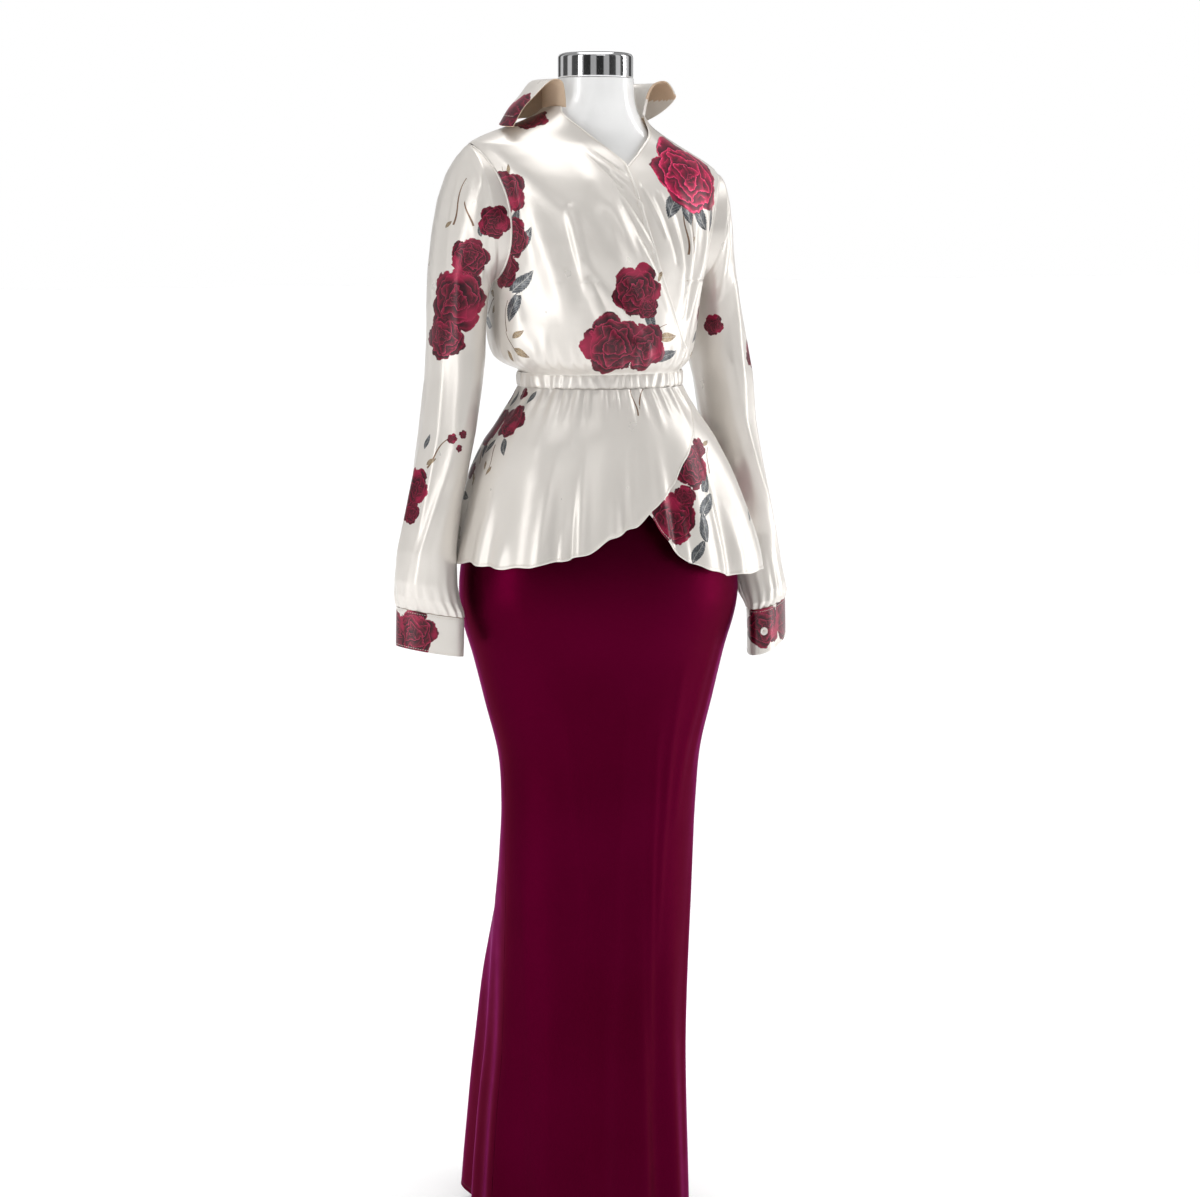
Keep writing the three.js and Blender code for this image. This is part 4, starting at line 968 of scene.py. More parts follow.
def rose_group():
    """A full-blown rose: rings of scalloped petals with dark hearts and bright rims."""
    n, out = print_group("rose_print")
    place, x, y, tone = motif_axes(n, "rose")
    wobble = n.add("ShaderNodeTexNoise", Vector=place, Scale=2.6, Detail=3.0).outputs["Color"]
    shift = n.add("ShaderNodeSeparateColor", Color=wobble)
    x = n.plus(x, n.times(n.minus(shift.outputs[0], 0.5), 0.42))
    y = n.plus(y, n.times(n.minus(shift.outputs[1], 0.5), 0.42))
    r = n.math("SQRT", n.plus(n.times(x, x), n.times(y, y)))
    turn = n.math("ARCTAN2", y, x)
    phase = n.times(tone, 7.3)
    lobes = n.math("ABSOLUTE", n.math("SINE", n.plus(n.times(turn, 2.5), phase)))
    edge = n.plus(0.8, n.times(n.math("POWER", lobes, 0.7), 0.2))
    ring = n.times(n.math("DIVIDE", r, edge), 4.3)
    layer = n.math("FLOOR", ring)
    petals = n.plus(1.5, n.math("GREATER_THAN", ring, 2.0))
    spin = n.plus(n.times(layer, 2.1), phase)
    scallop = n.math("ABSOLUTE", n.math("SINE", n.plus(n.times(turn, petals), spin)))
    t = n.math("FRACT", n.plus(ring, n.times(scallop, 0.85)))
    strokes = n.noise(place, 9.0, 4.0, 0.65)
    value = n.plus(t, n.times(n.minus(strokes, 0.5), 0.75))
    petal = n.ramp(
        value,
        (0.0, colour(0.015, 0.0003, 0.004)),
        (0.3, colour(0.05, 0.0006, 0.008)),
        (0.62, colour(0.12, 0.001, 0.016)),
        (0.86, colour(0.26, 0.004, 0.036)),
        (0.97, colour(0.42, 0.03, 0.09)),
        (1.0, colour(0.09, 0.0006, 0.01)),
    )
    heart = n.between(r, 0.34, 0.0)
    patches = n.between(n.noise(place, 1.7, 2.0), 0.5, 0.72)
    petal = n.mix(n.times(heart, 0.6), petal, colour(0.03, 0.001, 0.006))
    petal = n.mix(n.times(patches, 0.5), petal, colour(0.03, 0.0006, 0.008))
    glow = n.between(n.noise(place, 1.1, 1.0), 0.52, 0.68)
    bright = n.between(tone, 0.95, 1.0)
    glow = n.times(glow, n.minus(0.5, n.times(bright, 0.35)))
    petal = n.mix(glow, petal, colour(0.5, 0.01, 0.075))
    petal = n.mix(bright, petal, colour(2.7, 3.0, 2.9), "MULTIPLY")
    mask = n.between(n.minus(edge, r), 0.0, 0.03)
    return n.give(out, Colour=petal, Mask=mask)


def leaf_group():
    """A pointed leaf with a midrib and side veins, slate grey at tone 0 and tan at tone 1."""
    n, out = print_group("leaf_print")
    place, x, y, tone = motif_axes(n, "leaf")
    bend = n.times(n.math("SINE", n.times(x, 2.2)), 0.09)
    across = n.math("ABSOLUTE", n.plus(y, bend))
    fat = n.minus(1.0, n.math("POWER", n.math("ABSOLUTE", x), 1.9))
    wide = n.times(n.times(fat, 0.4), n.minus(1.0, n.times(x, 0.3)))
    teeth = n.times(n.math("FRACT", n.times(n.plus(x, across), 6.0)), 0.05)
    wide = n.minus(wide, teeth)
    shade = n.noise(place, 3.4, 4.0, 0.6)
    slate = n.ramp(
        shade,
        (0.3, colour(0.018, 0.02, 0.026)),
        (0.52, colour(0.07, 0.078, 0.09)),
        (0.72, colour(0.24, 0.25, 0.26)),
    )
    tan = n.ramp(
        shade,
        (0.3, colour(0.14, 0.075, 0.045)),
        (0.55, colour(0.3, 0.215, 0.12)),
        (0.75, colour(0.52, 0.42, 0.28)),
    )
    blade = n.mix(tone, slate, tan)
    veins = n.math("FRACT", n.times(n.minus(x, n.times(across, 1.3)), 5.0))
    vein = n.math("MAXIMUM", n.between(veins, 0.86, 0.94), n.between(across, 0.03, 0.012))
    blade = n.mix(n.times(vein, 0.55), blade, colour(0.5, 0.48, 0.44))
    inside = n.between(n.minus(wide, across), 0.0, 0.02)
    mask = n.times(inside, n.math("LESS_THAN", n.math("ABSOLUTE", x), 1.0))
    return n.give(out, Colour=blade, Mask=mask)


def stem_group():
    """A thin curved stem that tapers to its far end."""
    n, out = print_group("stem_print")
    place, x, y, tone = motif_axes(n, "stem")
    bend = n.times(n.math("SINE", n.plus(n.times(x, 2.4), tone)), 0.13)
    across = n.math("ABSOLUTE", n.minus(y, bend))
    half = n.minus(0.042, n.times(x, 0.016))
    inside = n.between(n.minus(half, across), 0.0, 0.01)
    mask = n.times(inside, n.math("LESS_THAN", n.math("ABSOLUTE", x), 1.0))
    bark = n.mix(n.noise(place, 6.0), colour(0.09, 0.035, 0.025), colour(0.3, 0.19, 0.11))
    return n.give(out, Colour=bark, Mask=mask)


def new_material(name):
    """A material, its nodes, its shader and the place on the object."""
    material = bpy.data.materials.new(name)
    material.use_nodes = True
    shader = material.node_tree.nodes["Principled BSDF"]
    n = Nodes(material.node_tree)
    return material, n, shader, n.add("ShaderNodeTexCoord").outputs["Object"]


def set_shader(n, shader, **values):
    """Sets or links inputs of a shader, by their names with underscores."""
    for key, value in values.items():
        n.feed(shader.inputs[key.replace("_", " ")], value)


def satin_weave(n, place, strength, crease):
    """Fine crossing threads and faint handling creases, as bump."""
    warp = n.add("ShaderNodeTexWave", {"bands_direction": "X"}, Vector=place, Scale=900.0, Distortion=1.5)
    weft = n.add("ShaderNodeTexWave", {"bands_direction": "Z"}, Vector=place, Scale=700.0, Distortion=1.5)
    threads = n.plus(warp.outputs["Fac"], weft.outputs["Fac"])
    stretched = n.add("ShaderNodeMapping", Vector=place)
    stretched.inputs["Scale"].default_value = (1.0, 1.0, 0.35)
    soft = n.noise(stretched.outputs["Vector"], 22.0, 2.0, 0.45)
    return n.bump(soft, 0.006, crease, Normal=n.bump(threads, 0.00004, strength))


def printed_satin():
    """Ivory satin with stems, leaves and roses printed in that order."""
    material, n, shader, place = new_material("ivory_rose_satin")
    tint = n.mix(n.noise(place, 7.0, 3.0), colour(0.7, 0.66, 0.615), colour(0.79, 0.755, 0.71))
    tint = n.mix(n.between(n.noise(place, 1400.0, 1.0), 0.35, 0.75), tint, colour(0.74, 0.7, 0.65))
    for group in (stem_group(), leaf_group(), rose_group()):
        motif = n.add("ShaderNodeGroup", {"node_tree": group})
        tint = n.mix(motif.outputs["Mask"], tint, motif.outputs["Colour"])
    rough = n.plus(0.24, n.times(n.noise(place, 30.0), 0.12))
    set_shader(n, shader, Base_Color=tint, Roughness=rough, Normal=satin_weave(n, place, 0.25, 0.12))
    set_shader(n, shader, Metallic=0.3, Sheen_Weight=0.08, Sheen_Roughness=0.4, Anisotropic=0.4, IOR=1.52)
    return material


def plain_satin(name, dark, light, sheen, gleam=0.0):
    """Satin of one colour. The wrong sides have no gleam."""
    material, n, shader, place = new_material(name)
    tint = n.mix(n.noise(place, 4.0, 2.0), dark, light)
    tint = n.mix(n.times(n.between(n.noise(place, 1500.0, 1.0), 0.4, 0.8), 0.5), tint, light)
    rough = n.plus(0.27 if gleam else 0.55, n.times(n.noise(place, 26.0), 0.14))
    set_shader(n, shader, Base_Color=tint, Roughness=rough, Normal=satin_weave(n, place, 0.25, 0.1))
    set_shader(n, shader, Metallic=gleam, Specular_IOR_Level=0.2, Anisotropic=0.4, IOR=1.5)
    set_shader(n, shader, Sheen_Weight=0.05, Sheen_Roughness=0.35, Sheen_Tint=sheen, Specular_Tint=sheen)
    return material


def gloss_white():
    """The form's glossy white paint, with faint scuffs."""
    material, n, shader, place = new_material("form_gloss_white")
    tint = n.mix(n.noise(place, 9.0, 4.0), colour(0.86, 0.86, 0.855), colour(0.93, 0.93, 0.925))
    scuffs = n.between(n.noise(place, 140.0, 5.0, 0.7), 0.62, 0.8)
    rough, normal = n.plus(0.22, n.times(scuffs, 0.25)), n.bump(n.noise(place, 60.0), 0.0004, 0.2)
    set_shader(n, shader, Base_Color=tint, Roughness=rough, Normal=normal)
    set_shader(n, shader, Coat_Weight=0.5, Coat_Roughness=0.08)
    return material


def metal(name, tone, low_rough, high_rough, grain):
    """A metal, brushed round its axis where the grain is strong."""
    material, n, shader, place = new_material(name)
    stretched = n.add("ShaderNodeMapping", Vector=place)
    stretched.inputs["Scale"].default_value = (3.0, 3.0, 160.0)
    lines = n.noise(stretched.outputs["Vector"], 12.0, 4.0, 0.6)
    dark = colour(tone * 0.9, tone * 0.9, tone * 0.92)
    tint = n.mix(lines, dark, grey(tone))
    marks = n.between(n.noise(place, 90.0, 5.0, 0.7), 0.55, 0.8)
    spread = n.times(n.math("MAXIMUM", lines, marks), high_rough - low_rough)
    rough, normal = n.plus(low_rough, spread), n.bump(lines, 0.00003, grain)
    set_shader(n, shader, Base_Color=tint, Roughness=rough, Normal=normal, Metallic=1.0, Anisotropic=grain)
    return material


def pearl():
    """Mother of pearl for the buttons."""
    material, n, shader, place = new_material("pearl_button")
    swirl = n.noise(place, 260.0, 4.0, 0.6)
    tint = n.ramp(
        swirl,
        (0.3, colour(0.62, 0.55, 0.5)),
        (0.5, colour(0.82, 0.77, 0.72)),
        (0.68, colour(0.86, 0.86, 0.82)),
    )
    rough = n.plus(0.16, n.times(swirl, 0.16))
    set_shader(n, shader, Base_Color=tint, Roughness=rough, Coat_Weight=0.6, Coat_Roughness=0.1)
    return material


def thread(name, dark, light):
    """Twisted sewing thread."""
    material, n, shader, place = new_material(name)
    twist = n.add("ShaderNodeTexWave", {"bands_direction": "DIAGONAL"}, Vector=place, Scale=1600.0)
    tint, normal = n.mix(twist.outputs["Fac"], dark, light), n.bump(twist.outputs["Fac"], 0.00008, 0.6)
    set_shader(n, shader, Base_Color=tint, Normal=normal, Roughness=0.5, Sheen_Weight=0.3)
    return material


def floor_paint():
    """The white studio floor."""
    material, n, shader, place = new_material("studio_floor")
    tint = n.mix(n.noise(place, 0.7, 3.0), grey(0.93), grey(0.96))
    rough = n.plus(0.6, n.times(n.noise(place, 2.0), 0.2))
    set_shader(n, shader, Base_Color=tint, Roughness=rough)
    set_shader(n, shader, Emission_Color=grey(1.0), Emission_Strength=0.12)
    return material


IVORY = printed_satin()
# The dull wrong side of the ivory satin is coloured tan as painted shade. It is darker and browner than the ivory
# and stands in for the shade inside the pieces and under the collar.
IVORY_BACK_PAINTED_SHADE = plain_satin("ivory_wrong_side_painted_shade", colour(0.5, 0.36, 0.25), colour(0.66, 0.52, 0.39), colour(1, 0.9, 0.8))
BURGUNDY = plain_satin(
    "burgundy_satin", colour(0.043, 0.0001, 0.0055), colour(0.078, 0.0003, 0.0165), colour(0.75, 0.02, 0.5), 0.93
)
BURGUNDY_BACK = plain_satin(
    "burgundy_wrong_side", colour(0.035, 0.0005, 0.007), colour(0.05, 0.001, 0.01), colour(0.6, 0.05, 0.2)
)
FORM_WHITE = gloss_white()
CHROME = metal("polished_chrome", 0.86, 0.03, 0.12, 0.05)
STEEL = metal("brushed_steel", 0.62, 0.2, 0.42, 0.5)
PEARL = pearl()
IVORY_THREAD = thread("ivory_thread", colour(0.5, 0.42, 0.34), colour(0.86, 0.8, 0.72))
BURGUNDY_THREAD = thread("burgundy_thread", colour(0.03, 0.001, 0.006), colour(0.14, 0.004, 0.03))

# ---- Cloth pieces ----
HEM_ROLL = 1.1  # how much thicker the cloth is in a rolled hem
HEM_WIDE = 3.2
SEAM_ROLL = 1.3
SKIRT_ROLL = 1.1
ROLL_SINK = 0.15
SKIRT_BAND_THICK = 1.6
ROLL_SIDES = 10
PEPLUM_SEAM_R, SKIRT_SEAM_R = 109, 112  # where the side seams' gaps are measured from the middle
FLUTES_FROM, FLUTES_FULL = 1165, 940  # heights between which the peplum's flutes come out
LAP_EASE = (1150, 1175)  # heights between which the peplum's lap closes up to the casing's
HEM_WAVE_IN = (20, 90)  # lengths of the peplum between which its hem starts to wave
STAND_X, STAND_HIGH = 20, 17  # where the collar's stand shows at the wearer's left, and how high it is


def dense(low, high, count, *fine):
    """Even steps between two ends, with closer ones added near each of the given places."""
    places = [np.linspace(low, high, count)]
    for at, reach in fine:
        places.append(np.clip(at + reach * FINE_STEPS, low, high))
    merged = np.unique(np.round(np.concatenate(places), 6))
    gap = (high - low) / count * 0.05
    keep = [merged[0]]
    for value in merged[1:]:
        if value - keep[-1] > gap:
            keep.append(value)
    keep[-1] = merged[-1]
    return np.array(keep)


def rolled(mm_from_edge):
    """Thickness of the cloth near a rolled hem."""
    share = np.clip(1 - mm_from_edge / HEM_WIDE, 0, 1)
    return CLOTH + HEM_ROLL * np.sin(np.pi * share) ** 0.6


def bodice_panel(name, near, far, columns, lift, rolled_edges, key):
    """A panel of the bodice between two edges, given by their angles at a height."""

    def angle_at(u, z):
        return near(z) + (far(z) - near(z)) * u

    def thick(u, z):
        out = CLOTH + 0 * u
        span = np.abs(far(z) - near(z)) * BODICE_MM
        for edge in rolled_edges:
            out = np.maximum(out, rolled(np.abs(u - edge) * span))
        return out

    fine = [(edge, 0.012) for edge in rolled_edges]
    return shell(
        name,
        dense(0, 1, columns, *fine),
        dense(WAIST_Z + SEAM, NECK_EDGE_Z, 130),
        lambda u, z: bodice(angle_at(u, z), z),
        (IVORY, IVORY_BACK_PAINTED_SHADE),
        lift=lambda u, z: lift(angle_at(u, z), z),
        thick=thick,
        print_on=key,
    )


def no_lift(angle, z):
    return 0 * angle


def hem_wave(angle):
    """How far a hem rises and falls round the body."""
    return 2.2 * wave(angle * 13 + 50 * wave(angle * 3)) + 1.1 * wave(angle * 31)


def hem_z(hem, angle):
    """Height of a peplum panel's hem."""
    tall = peplum_top(angle) - curve(hem, "angle", "z", angle)
    return curve(hem, "angle", "z", angle) + hem_wave(angle) * ease(*HEM_WAVE_IN, tall)


def peplum_panel(name, first, last, columns, hem, lift, key):
    """A panel of the peplum between two angles, from the casing to its hem."""

    def z_at(angle, v):
        return peplum_top(angle) + (hem_z(hem, angle) - peplum_top(angle)) * v

    def thick(angle, v):
        return rolled((1 - v) * (peplum_top(angle) - hem_z(hem, angle)))

    return shell(
        name,
        np.linspace(first, last, columns),
        dense(0, 1, 58, (1.0, 0.016)),
        lambda angle, v: peplum(angle, z_at(angle, v)),
        (IVORY, IVORY_BACK_PAINTED_SHADE),
        lift=lambda angle, v: lift(angle, z_at(angle, v)),
        thick=thick,
        side=-1,
        print_on=key,
    )


def upper_peplum_lift(angle, z):
    """How far the lapping peplum front stands off the one under it."""
    full = LAP - (LAP - WAIST_LAP) * ease(*LAP_EASE, z)
    return full * ease(0, LAP_REACH, angle + 90)


def sleeve_piece(name, rows, sign, key):
    """A sleeve, from the armhole to the cuff. The sign is 1 at the wearer's left and -1 at the right."""
    last = len(rows["deep"])
    return shell(
        name,
        np.linspace(-180, 180, 121),
        dense(0, last, 145),
        sleeve_surface(rows, sign),
        (IVORY, IVORY_BACK_PAINTED_SHADE),
        side=-sign,
        wraps=True,
        print_on=key,
    )


def cuff_piece(name, rows, sign, open_at, key):
    """A cuff that starts at an angle round the wrist and laps over its own start."""
    last = len(rows["deep"]) - 1
    return shell(
        name,
        np.linspace(open_at, open_at + 360 + CUFF_OVERLAP, 150),
        dense(0, last, 24, (0, 0.05), (last, 0.05)),
        lambda angle, v: ring_point(rows, v, angle, sign),
        (IVORY, IVORY_BACK_PAINTED_SHADE),
        lift=lambda angle, v: cuff_lift(angle, open_at),
        thick=lambda angle, v: CLOTH + 0.4 * np.sin(np.pi * v / last) ** 0.3,
        side=-sign,
        print_on=key,
    )


def casing_surface(angle, v):
    """Points on the waist casing, from its foot (0) to its top (1)."""
    p = on_tube(BLOUSE, angle, WAIST_Z + 0 * angle)
    p[..., 2] = WAIST_Z - WAIST_BAND_H * (1 - v) + sag(angle) * (1 - v)
    return p


def casing_lift(angle, v):
    """The ruching of the casing over its elastic."""
    slant = angle + 2.5 * (v - 0.5) * wave(angle * 9)
    fine = wave(slant * 47 + 60 * wave(angle * 7))
    broad = wave(slant * 19 + 90 * wave(angle * 4))
    return 1.0 + 0.6 * np.sin(np.pi * v) + (0.7 * fine + 0.5 * broad) * np.sin(np.pi * v) ** 0.5


def skirt_panel(name, first, last, columns):
    """A panel of the skirt between two angles."""
    return shell(
        name,
        np.linspace(first, last, columns),
        dense(SKIRT_HEM_Z, SKIRT_TOP_Z - SKIRT_BAND_H, 115, (SKIRT_HEM_Z, 4)),
        skirt,
        (BURGUNDY, BURGUNDY_BACK),
        thick=lambda angle, z: rolled(z - SKIRT_HEM_Z),
    )


def skirt_band_lift(angle, z):
    """The small gathers of the skirt's waistband."""
    v = (z - SKIRT_TOP_Z + SKIRT_BAND_H) / SKIRT_BAND_H
    return 0.3 * wave(angle * 40) * np.sin(np.pi * v) - 0.3


def face_stand(collar):
    """The printed cloth faces out on the stand at the wearer's left, where the collar stands open."""
    for face in collar.data.polygons:
        middle = face.center / MM
        if middle.x > STAND_X and middle.z < NECK_EDGE_Z + STAND_HIGH:
            face.material_index = 1


def make_blouse():
    """The cloth pieces of the blouse, by the node each replaces."""
    gap = seam_angle(PEPLUM_SEAM_R)
    made = {}
    for node, *shape in (
        ("bodice_right_front", right_side, upper_edge, 130, lap_out, (1.0,), "upper_front"),
        ("bodice_left_front", lower_edge, left_side, 110, no_lift, (0.0,), "lower_front"),
        ("bodice_back", back_left_side, back_right_side, 112, no_lift, (), "back"),
    ):
        made[node] = bodice_panel(node + "_cloth", *shape)
    last = len(COLLAR["backUp"]) - 1
    steps = dense(0, last, 50, (last, 0.2))
    # The collar's outer face takes the tan wrong side, which is painted shade under its fall. The printed side
    # faces the neck.
    linings = (IVORY_BACK_PAINTED_SHADE, IVORY)
    across = np.linspace(-1, 1, 150)
    made["collar"] = shell("collar_cloth", across, steps, collar_surface, linings, print_on="collar")
    face_stand(made["collar"])
    made["blouse_waistband"] = shell(
        "waist_casing", np.linspace(-180, 180, 481), np.linspace(0, 1, 15), casing_surface, (IVORY, IVORY_BACK_PAINTED_SHADE),
        lift=casing_lift, thick=lambda angle, v: CASING + 0 * angle, wraps=True, print_on="waist",
    )
    for node, *shape in (
        ("peplum_right_front", -90 + gap, 60, 210, UPPER_HEM, upper_peplum_lift, "upper_peplum"),
        ("peplum_left_front", -60, 90 - gap, 210, LOWER_HEM, no_lift, "lower_peplum"),
        ("peplum_back", 90 + gap, 270 - gap, 240, BACK_HEM, no_lift, "back_peplum"),
    ):
        made[node] = peplum_panel(node + "_cloth", *shape)
    for node, rows, sign in (("sleeve_right", RIGHT_SLEEVE, -1), ("sleeve_left", LEFT_SLEEVE, 1)):
        made[node] = sleeve_piece(node + "_cloth", rows, sign, node)
    for hand, rows, sign, open_at in CUFFS:
        made["cuff_" + hand] = cuff_piece("cuff_" + hand + "_cloth", rows, sign, open_at, "cuff_" + hand)
    return made


def seam_roll(name, path, radius, materials, closed):
    """A turned seam: a thin, uneven roll of cloth along a path."""
    wide = np.concatenate([path[-2:-1], path, path[1:2]]) if closed else path
    along = unit(np.gradient(wide, axis=0)[1:-1] if closed else np.gradient(wide, axis=0))
    out = unit(np.cross(along, np.array([1.0, 0.0, 0.0])))
    across = np.cross(along, out)
    shape = np.radians(np.arange(ROLL_SIDES) * 360 / ROLL_SIDES)
    cos, sin = np.cos(shape)[None, :, None], np.sin(shape)[None, :, None]
    uneven = 1 + 0.12 * np.sin(np.arange(len(path)) * 1.1)[:, None, None]
    p = path[:, None] + (out[:, None] * cos + across[:, None] * sin) * radius * uneven
    if closed:
        p = p[:-1]
    points = tilted(p.reshape(-1, 3))
    faces = ring_faces(len(p), ROLL_SIDES, closed)
    return make_mesh(name, points, faces, materials, sharp=180), points


def armhole_roll(name, sign):
    """The turned seam round an armhole, where a sleeve is set in."""
    roll, points = seam_roll(name, armhole_point(np.linspace(0, 360, 181), sign), SEAM_ROLL, (IVORY,), True)
    print_cloth(roll, "seam", points, points)
    return roll


def skirt_roll(name, sign):
    """The turned seam down a side of the skirt, just under its outer face."""
    z = dense(SKIRT_HEM_Z + 1, SKIRT_TOP_Z - SKIRT_BAND_H - 1, 115, (SKIRT_HEM_Z, 4))
    path = skirt(90.0 * sign + 0 * z, z)
    path[:, 0] -= sign * (SKIRT_ROLL + ROLL_SINK)
    return seam_roll(name, path, SKIRT_ROLL, (BURGUNDY,), False)[0]


def make_skirt():
    """The cloth pieces of the skirt, by the node each replaces."""
    gap = seam_angle(SKIRT_SEAM_R)
    return {
        "skirt_front": skirt_panel("skirt_front_cloth", -90 + gap, 90 - gap, 165),
        "skirt_back": skirt_panel("skirt_back_cloth", 90 + gap, 270 - gap, 205),
        "skirt_waistband": shell(
            "skirt_waistband_cloth",
            np.linspace(-180, 180, 361),
            np.linspace(SKIRT_TOP_Z - SKIRT_BAND_H + SEAM, SKIRT_TOP_Z, 13),
            lambda angle, z: on_tube(SKIRT, angle, z),
            (BURGUNDY, BURGUNDY_BACK),
            lift=skirt_band_lift,
            thick=lambda angle, z: SKIRT_BAND_THICK + 0 * angle,
            wraps=True,
        ),
    }


# ---- Form, stand and buttons ----
def lathe(name, outline, x, y, z, segments, material):
    """A turned piece: the outline is radius and height, from the axis round to the axis."""
    angles = np.linspace(0, 2 * np.pi, segments, endpoint=False)
    ring = np.stack([np.cos(angles), np.sin(angles)], axis=-1)
    points, faces = [], []
    points.append([x, y, z + outline[0][1]])
    for r, height in outline[1:-1]:
        points.extend([x + r * c, y + r * s, z + height] for c, s in ring)
    points.append([x, y, z + outline[-1][1]])
    rings = len(outline) - 2
    for i in range(segments):
        j = (i + 1) % segments
        faces.append((0, 1 + j, 1 + i))
        for k in range(rings - 1):
            low = 1 + k * segments
            faces.append((low + i, low + j, low + segments + j, low + segments + i))
        top = 1 + (rings - 1) * segments
        faces.append((top + i, top + j, len(points) - 1))
    return make_mesh(name, np.array(points), faces, (material,), sharp=35)


def rounded(outline, bevel):
    """The outline with each inner corner replaced by three points on a small arc."""
    points = [np.array(p, dtype=float) for p in outline]
    result = [tuple(points[0])]
    for before, at, after in zip(points, points[1:], points[2:]):
        back = unit(before - at) * min(bevel, np.linalg.norm(before - at) / 2.5)
        ahead = unit(after - at) * min(bevel, np.linalg.norm(after - at) / 2.5)
        for t in (0.0, 0.25, 0.5, 0.75, 1.0):
            result.append(tuple(at + back * (1 - t) ** 2 + ahead * t**2))
    result.append(tuple(points[-1]))
    return result


def make_form():
    """The torso and neck, smooth all round."""
    angles = np.linspace(-180, 180, 128, endpoint=False)
    heights = dense(FORM["z"][0], FORM["z"][-1], 120, (FORM["z"][0], 8))
    grid_angle, grid_z = np.meshgrid(angles, heights)
    p = tilted(on_tube(FORM, grid_angle, grid_z))
    faces = ring_faces(len(heights), len(angles))
    return make_mesh("form_shell", p.reshape(-1, 3), faces, (FORM_WHITE,), sharp=40)


def make_cap():
    """The chromed cap on the neck."""
    outline = (
        (0, 0),
        (CAP_R - 1, 0),
        (CAP_R, 1),
        (CAP_R, CAP_H - 5),
        (CAP_R - 2, CAP_H - 2),
        (CAP_R - 7, CAP_H - 0.4),
        (0, CAP_H),
    )
    return lathe("cap_chrome", rounded(outline, 1.2), NECK_X, NECK_Y, NECK_TOP_Z + REST_GAP, 128, CHROME)


def make_pole():
    """The pole between the base and the form."""
    low, high = BASE_H + REST_GAP, FORM_FOOT_Z - REST_GAP
    outline = ((0, low), (POLE_R, low), (POLE_R, high), (0, high))
    return lathe("pole_steel", rounded(outline, 0.5), 0, 0, 0, 72, STEEL)


def make_base():
    """The round base."""
    outline = ((0, 0), (BASE_R, 0), (BASE_R, BASE_H - BASE_EDGE), (BASE_R - BASE_EDGE, BASE_H), (0, BASE_H))
    return lathe("base_steel", rounded(outline, 0.8), 0, 0, 0, 160, STEEL)


def cuff_frame(rows, angle, v, sign):
    """The middle and outward normal of a place on a cuff."""

    def at(a, w):
        return ring_point(rows, np.array(float(w)), np.array(float(a)), sign)

    across, along = at(angle + 1, v) - at(angle - 1, v), at(angle, v + 0.1) - at(angle, v - 0.1)
    return at(angle, v), unit(np.cross(across, along)) * -sign


def make_button(name, rows, sign, open_at):
    """A dished button with four holes, and the two crossing threads that sew it on."""
    middle = (len(rows["deep"]) - 1) / 2
    at, normal = cuff_frame(rows, open_at + CUFF_OVERLAP / 2, middle, sign)
    low = CUFF_LIFT + BUTTON_GAP
    face = low + BUTTON_H * 0.75
    outline = (
        (0, low),
        (BUTTON_R * 0.9, low),
        (BUTTON_R, low + BUTTON_H * 0.35),
        (BUTTON_R * 0.92, low + BUTTON_H),
        (BUTTON_R * 0.62, low + BUTTON_H * 0.8),
    )
    dish = [(r, face) for r in np.arange(3.0, 0.1, -0.2)]
    piece = lathe(name, rounded(outline + (dish[0],), 0.5) + dish[1:] + [(0, face)], 0, 0, 0, 72, PEARL)
    for vertex in piece.data.vertices:
        x, y, z = vertex.co / MM
        if z > face - 0.1 and math.hypot(abs(x) - BUTTON_HOLE, abs(y) - BUTTON_HOLE) < BUTTON_HOLE_R:
            vertex.co.z -= BUTTON_HOLE_DEEP * MM
    corner = np.array([[1.0, 1.0, 0.0], [1.0, -1.0, 0.0]]) * BUTTON_HOLE
    top = np.array([0.0, 0.0, face])
    normals = np.array([[0.0, 0.0, 1.0]] * 2)
    sewn = thread_bars(name + "_thread", top + corner, top - corner, normals, 0.35, IVORY_THREAD)
    turn = Vector((0, 0, 1)).rotation_difference(Vector(normal)).to_matrix().to_4x4()
    turn.translation = Vector(at * MM)
    piece.data.transform(turn)
    sewn.data.transform(turn)
    return piece, sewn


# ---- Stitches ----
BAR = (  # along a stitch: share of its length, share of its radius, height in radii
    (0.0, 0.3, -0.4),
    (0.15, 0.9, 0.3),
    (0.5, 1.0, 0.7),
    (0.85, 0.9, 0.3),
    (1.0, 0.3, -0.4),
)
BAR_SIDES = 6


def thread_bars(name, starts, ends, normals, radius, material):
    """Short bars of thread with sunk ends, one from each start to its end."""
    along = unit(ends - starts)
    side = unit(np.cross(normals, along))
    rings = []
    for share, wide, high in BAR:
        middle = starts + (ends - starts) * share + normals * high * radius
        for i in range(BAR_SIDES):
            turn = 2 * math.pi * i / BAR_SIDES
            rings.append(middle + (side * math.cos(turn) + normals * math.sin(turn)) * radius * wide)
    points = np.stack(rings, axis=1).reshape(-1, 3)
    one = ring_faces(len(BAR), BAR_SIDES)
    step = len(BAR) * BAR_SIDES
    faces = [tuple(n * step + i for i in face) for n in range(len(starts)) for face in one]
    return make_mesh(name, points, faces, (material,))


def line_on(surface, u, v, lift=0.0, side=1):
    """Points and normals along a line on a surface, lifted off it on the given side."""
    e = 0.01
    n = unit(np.cross(surface(u + e, v) - surface(u - e, v), surface(u, v + e) - surface(u, v - e))) * side
    return tilted(surface(u, v) + n * np.reshape(lift, (-1, 1))), n


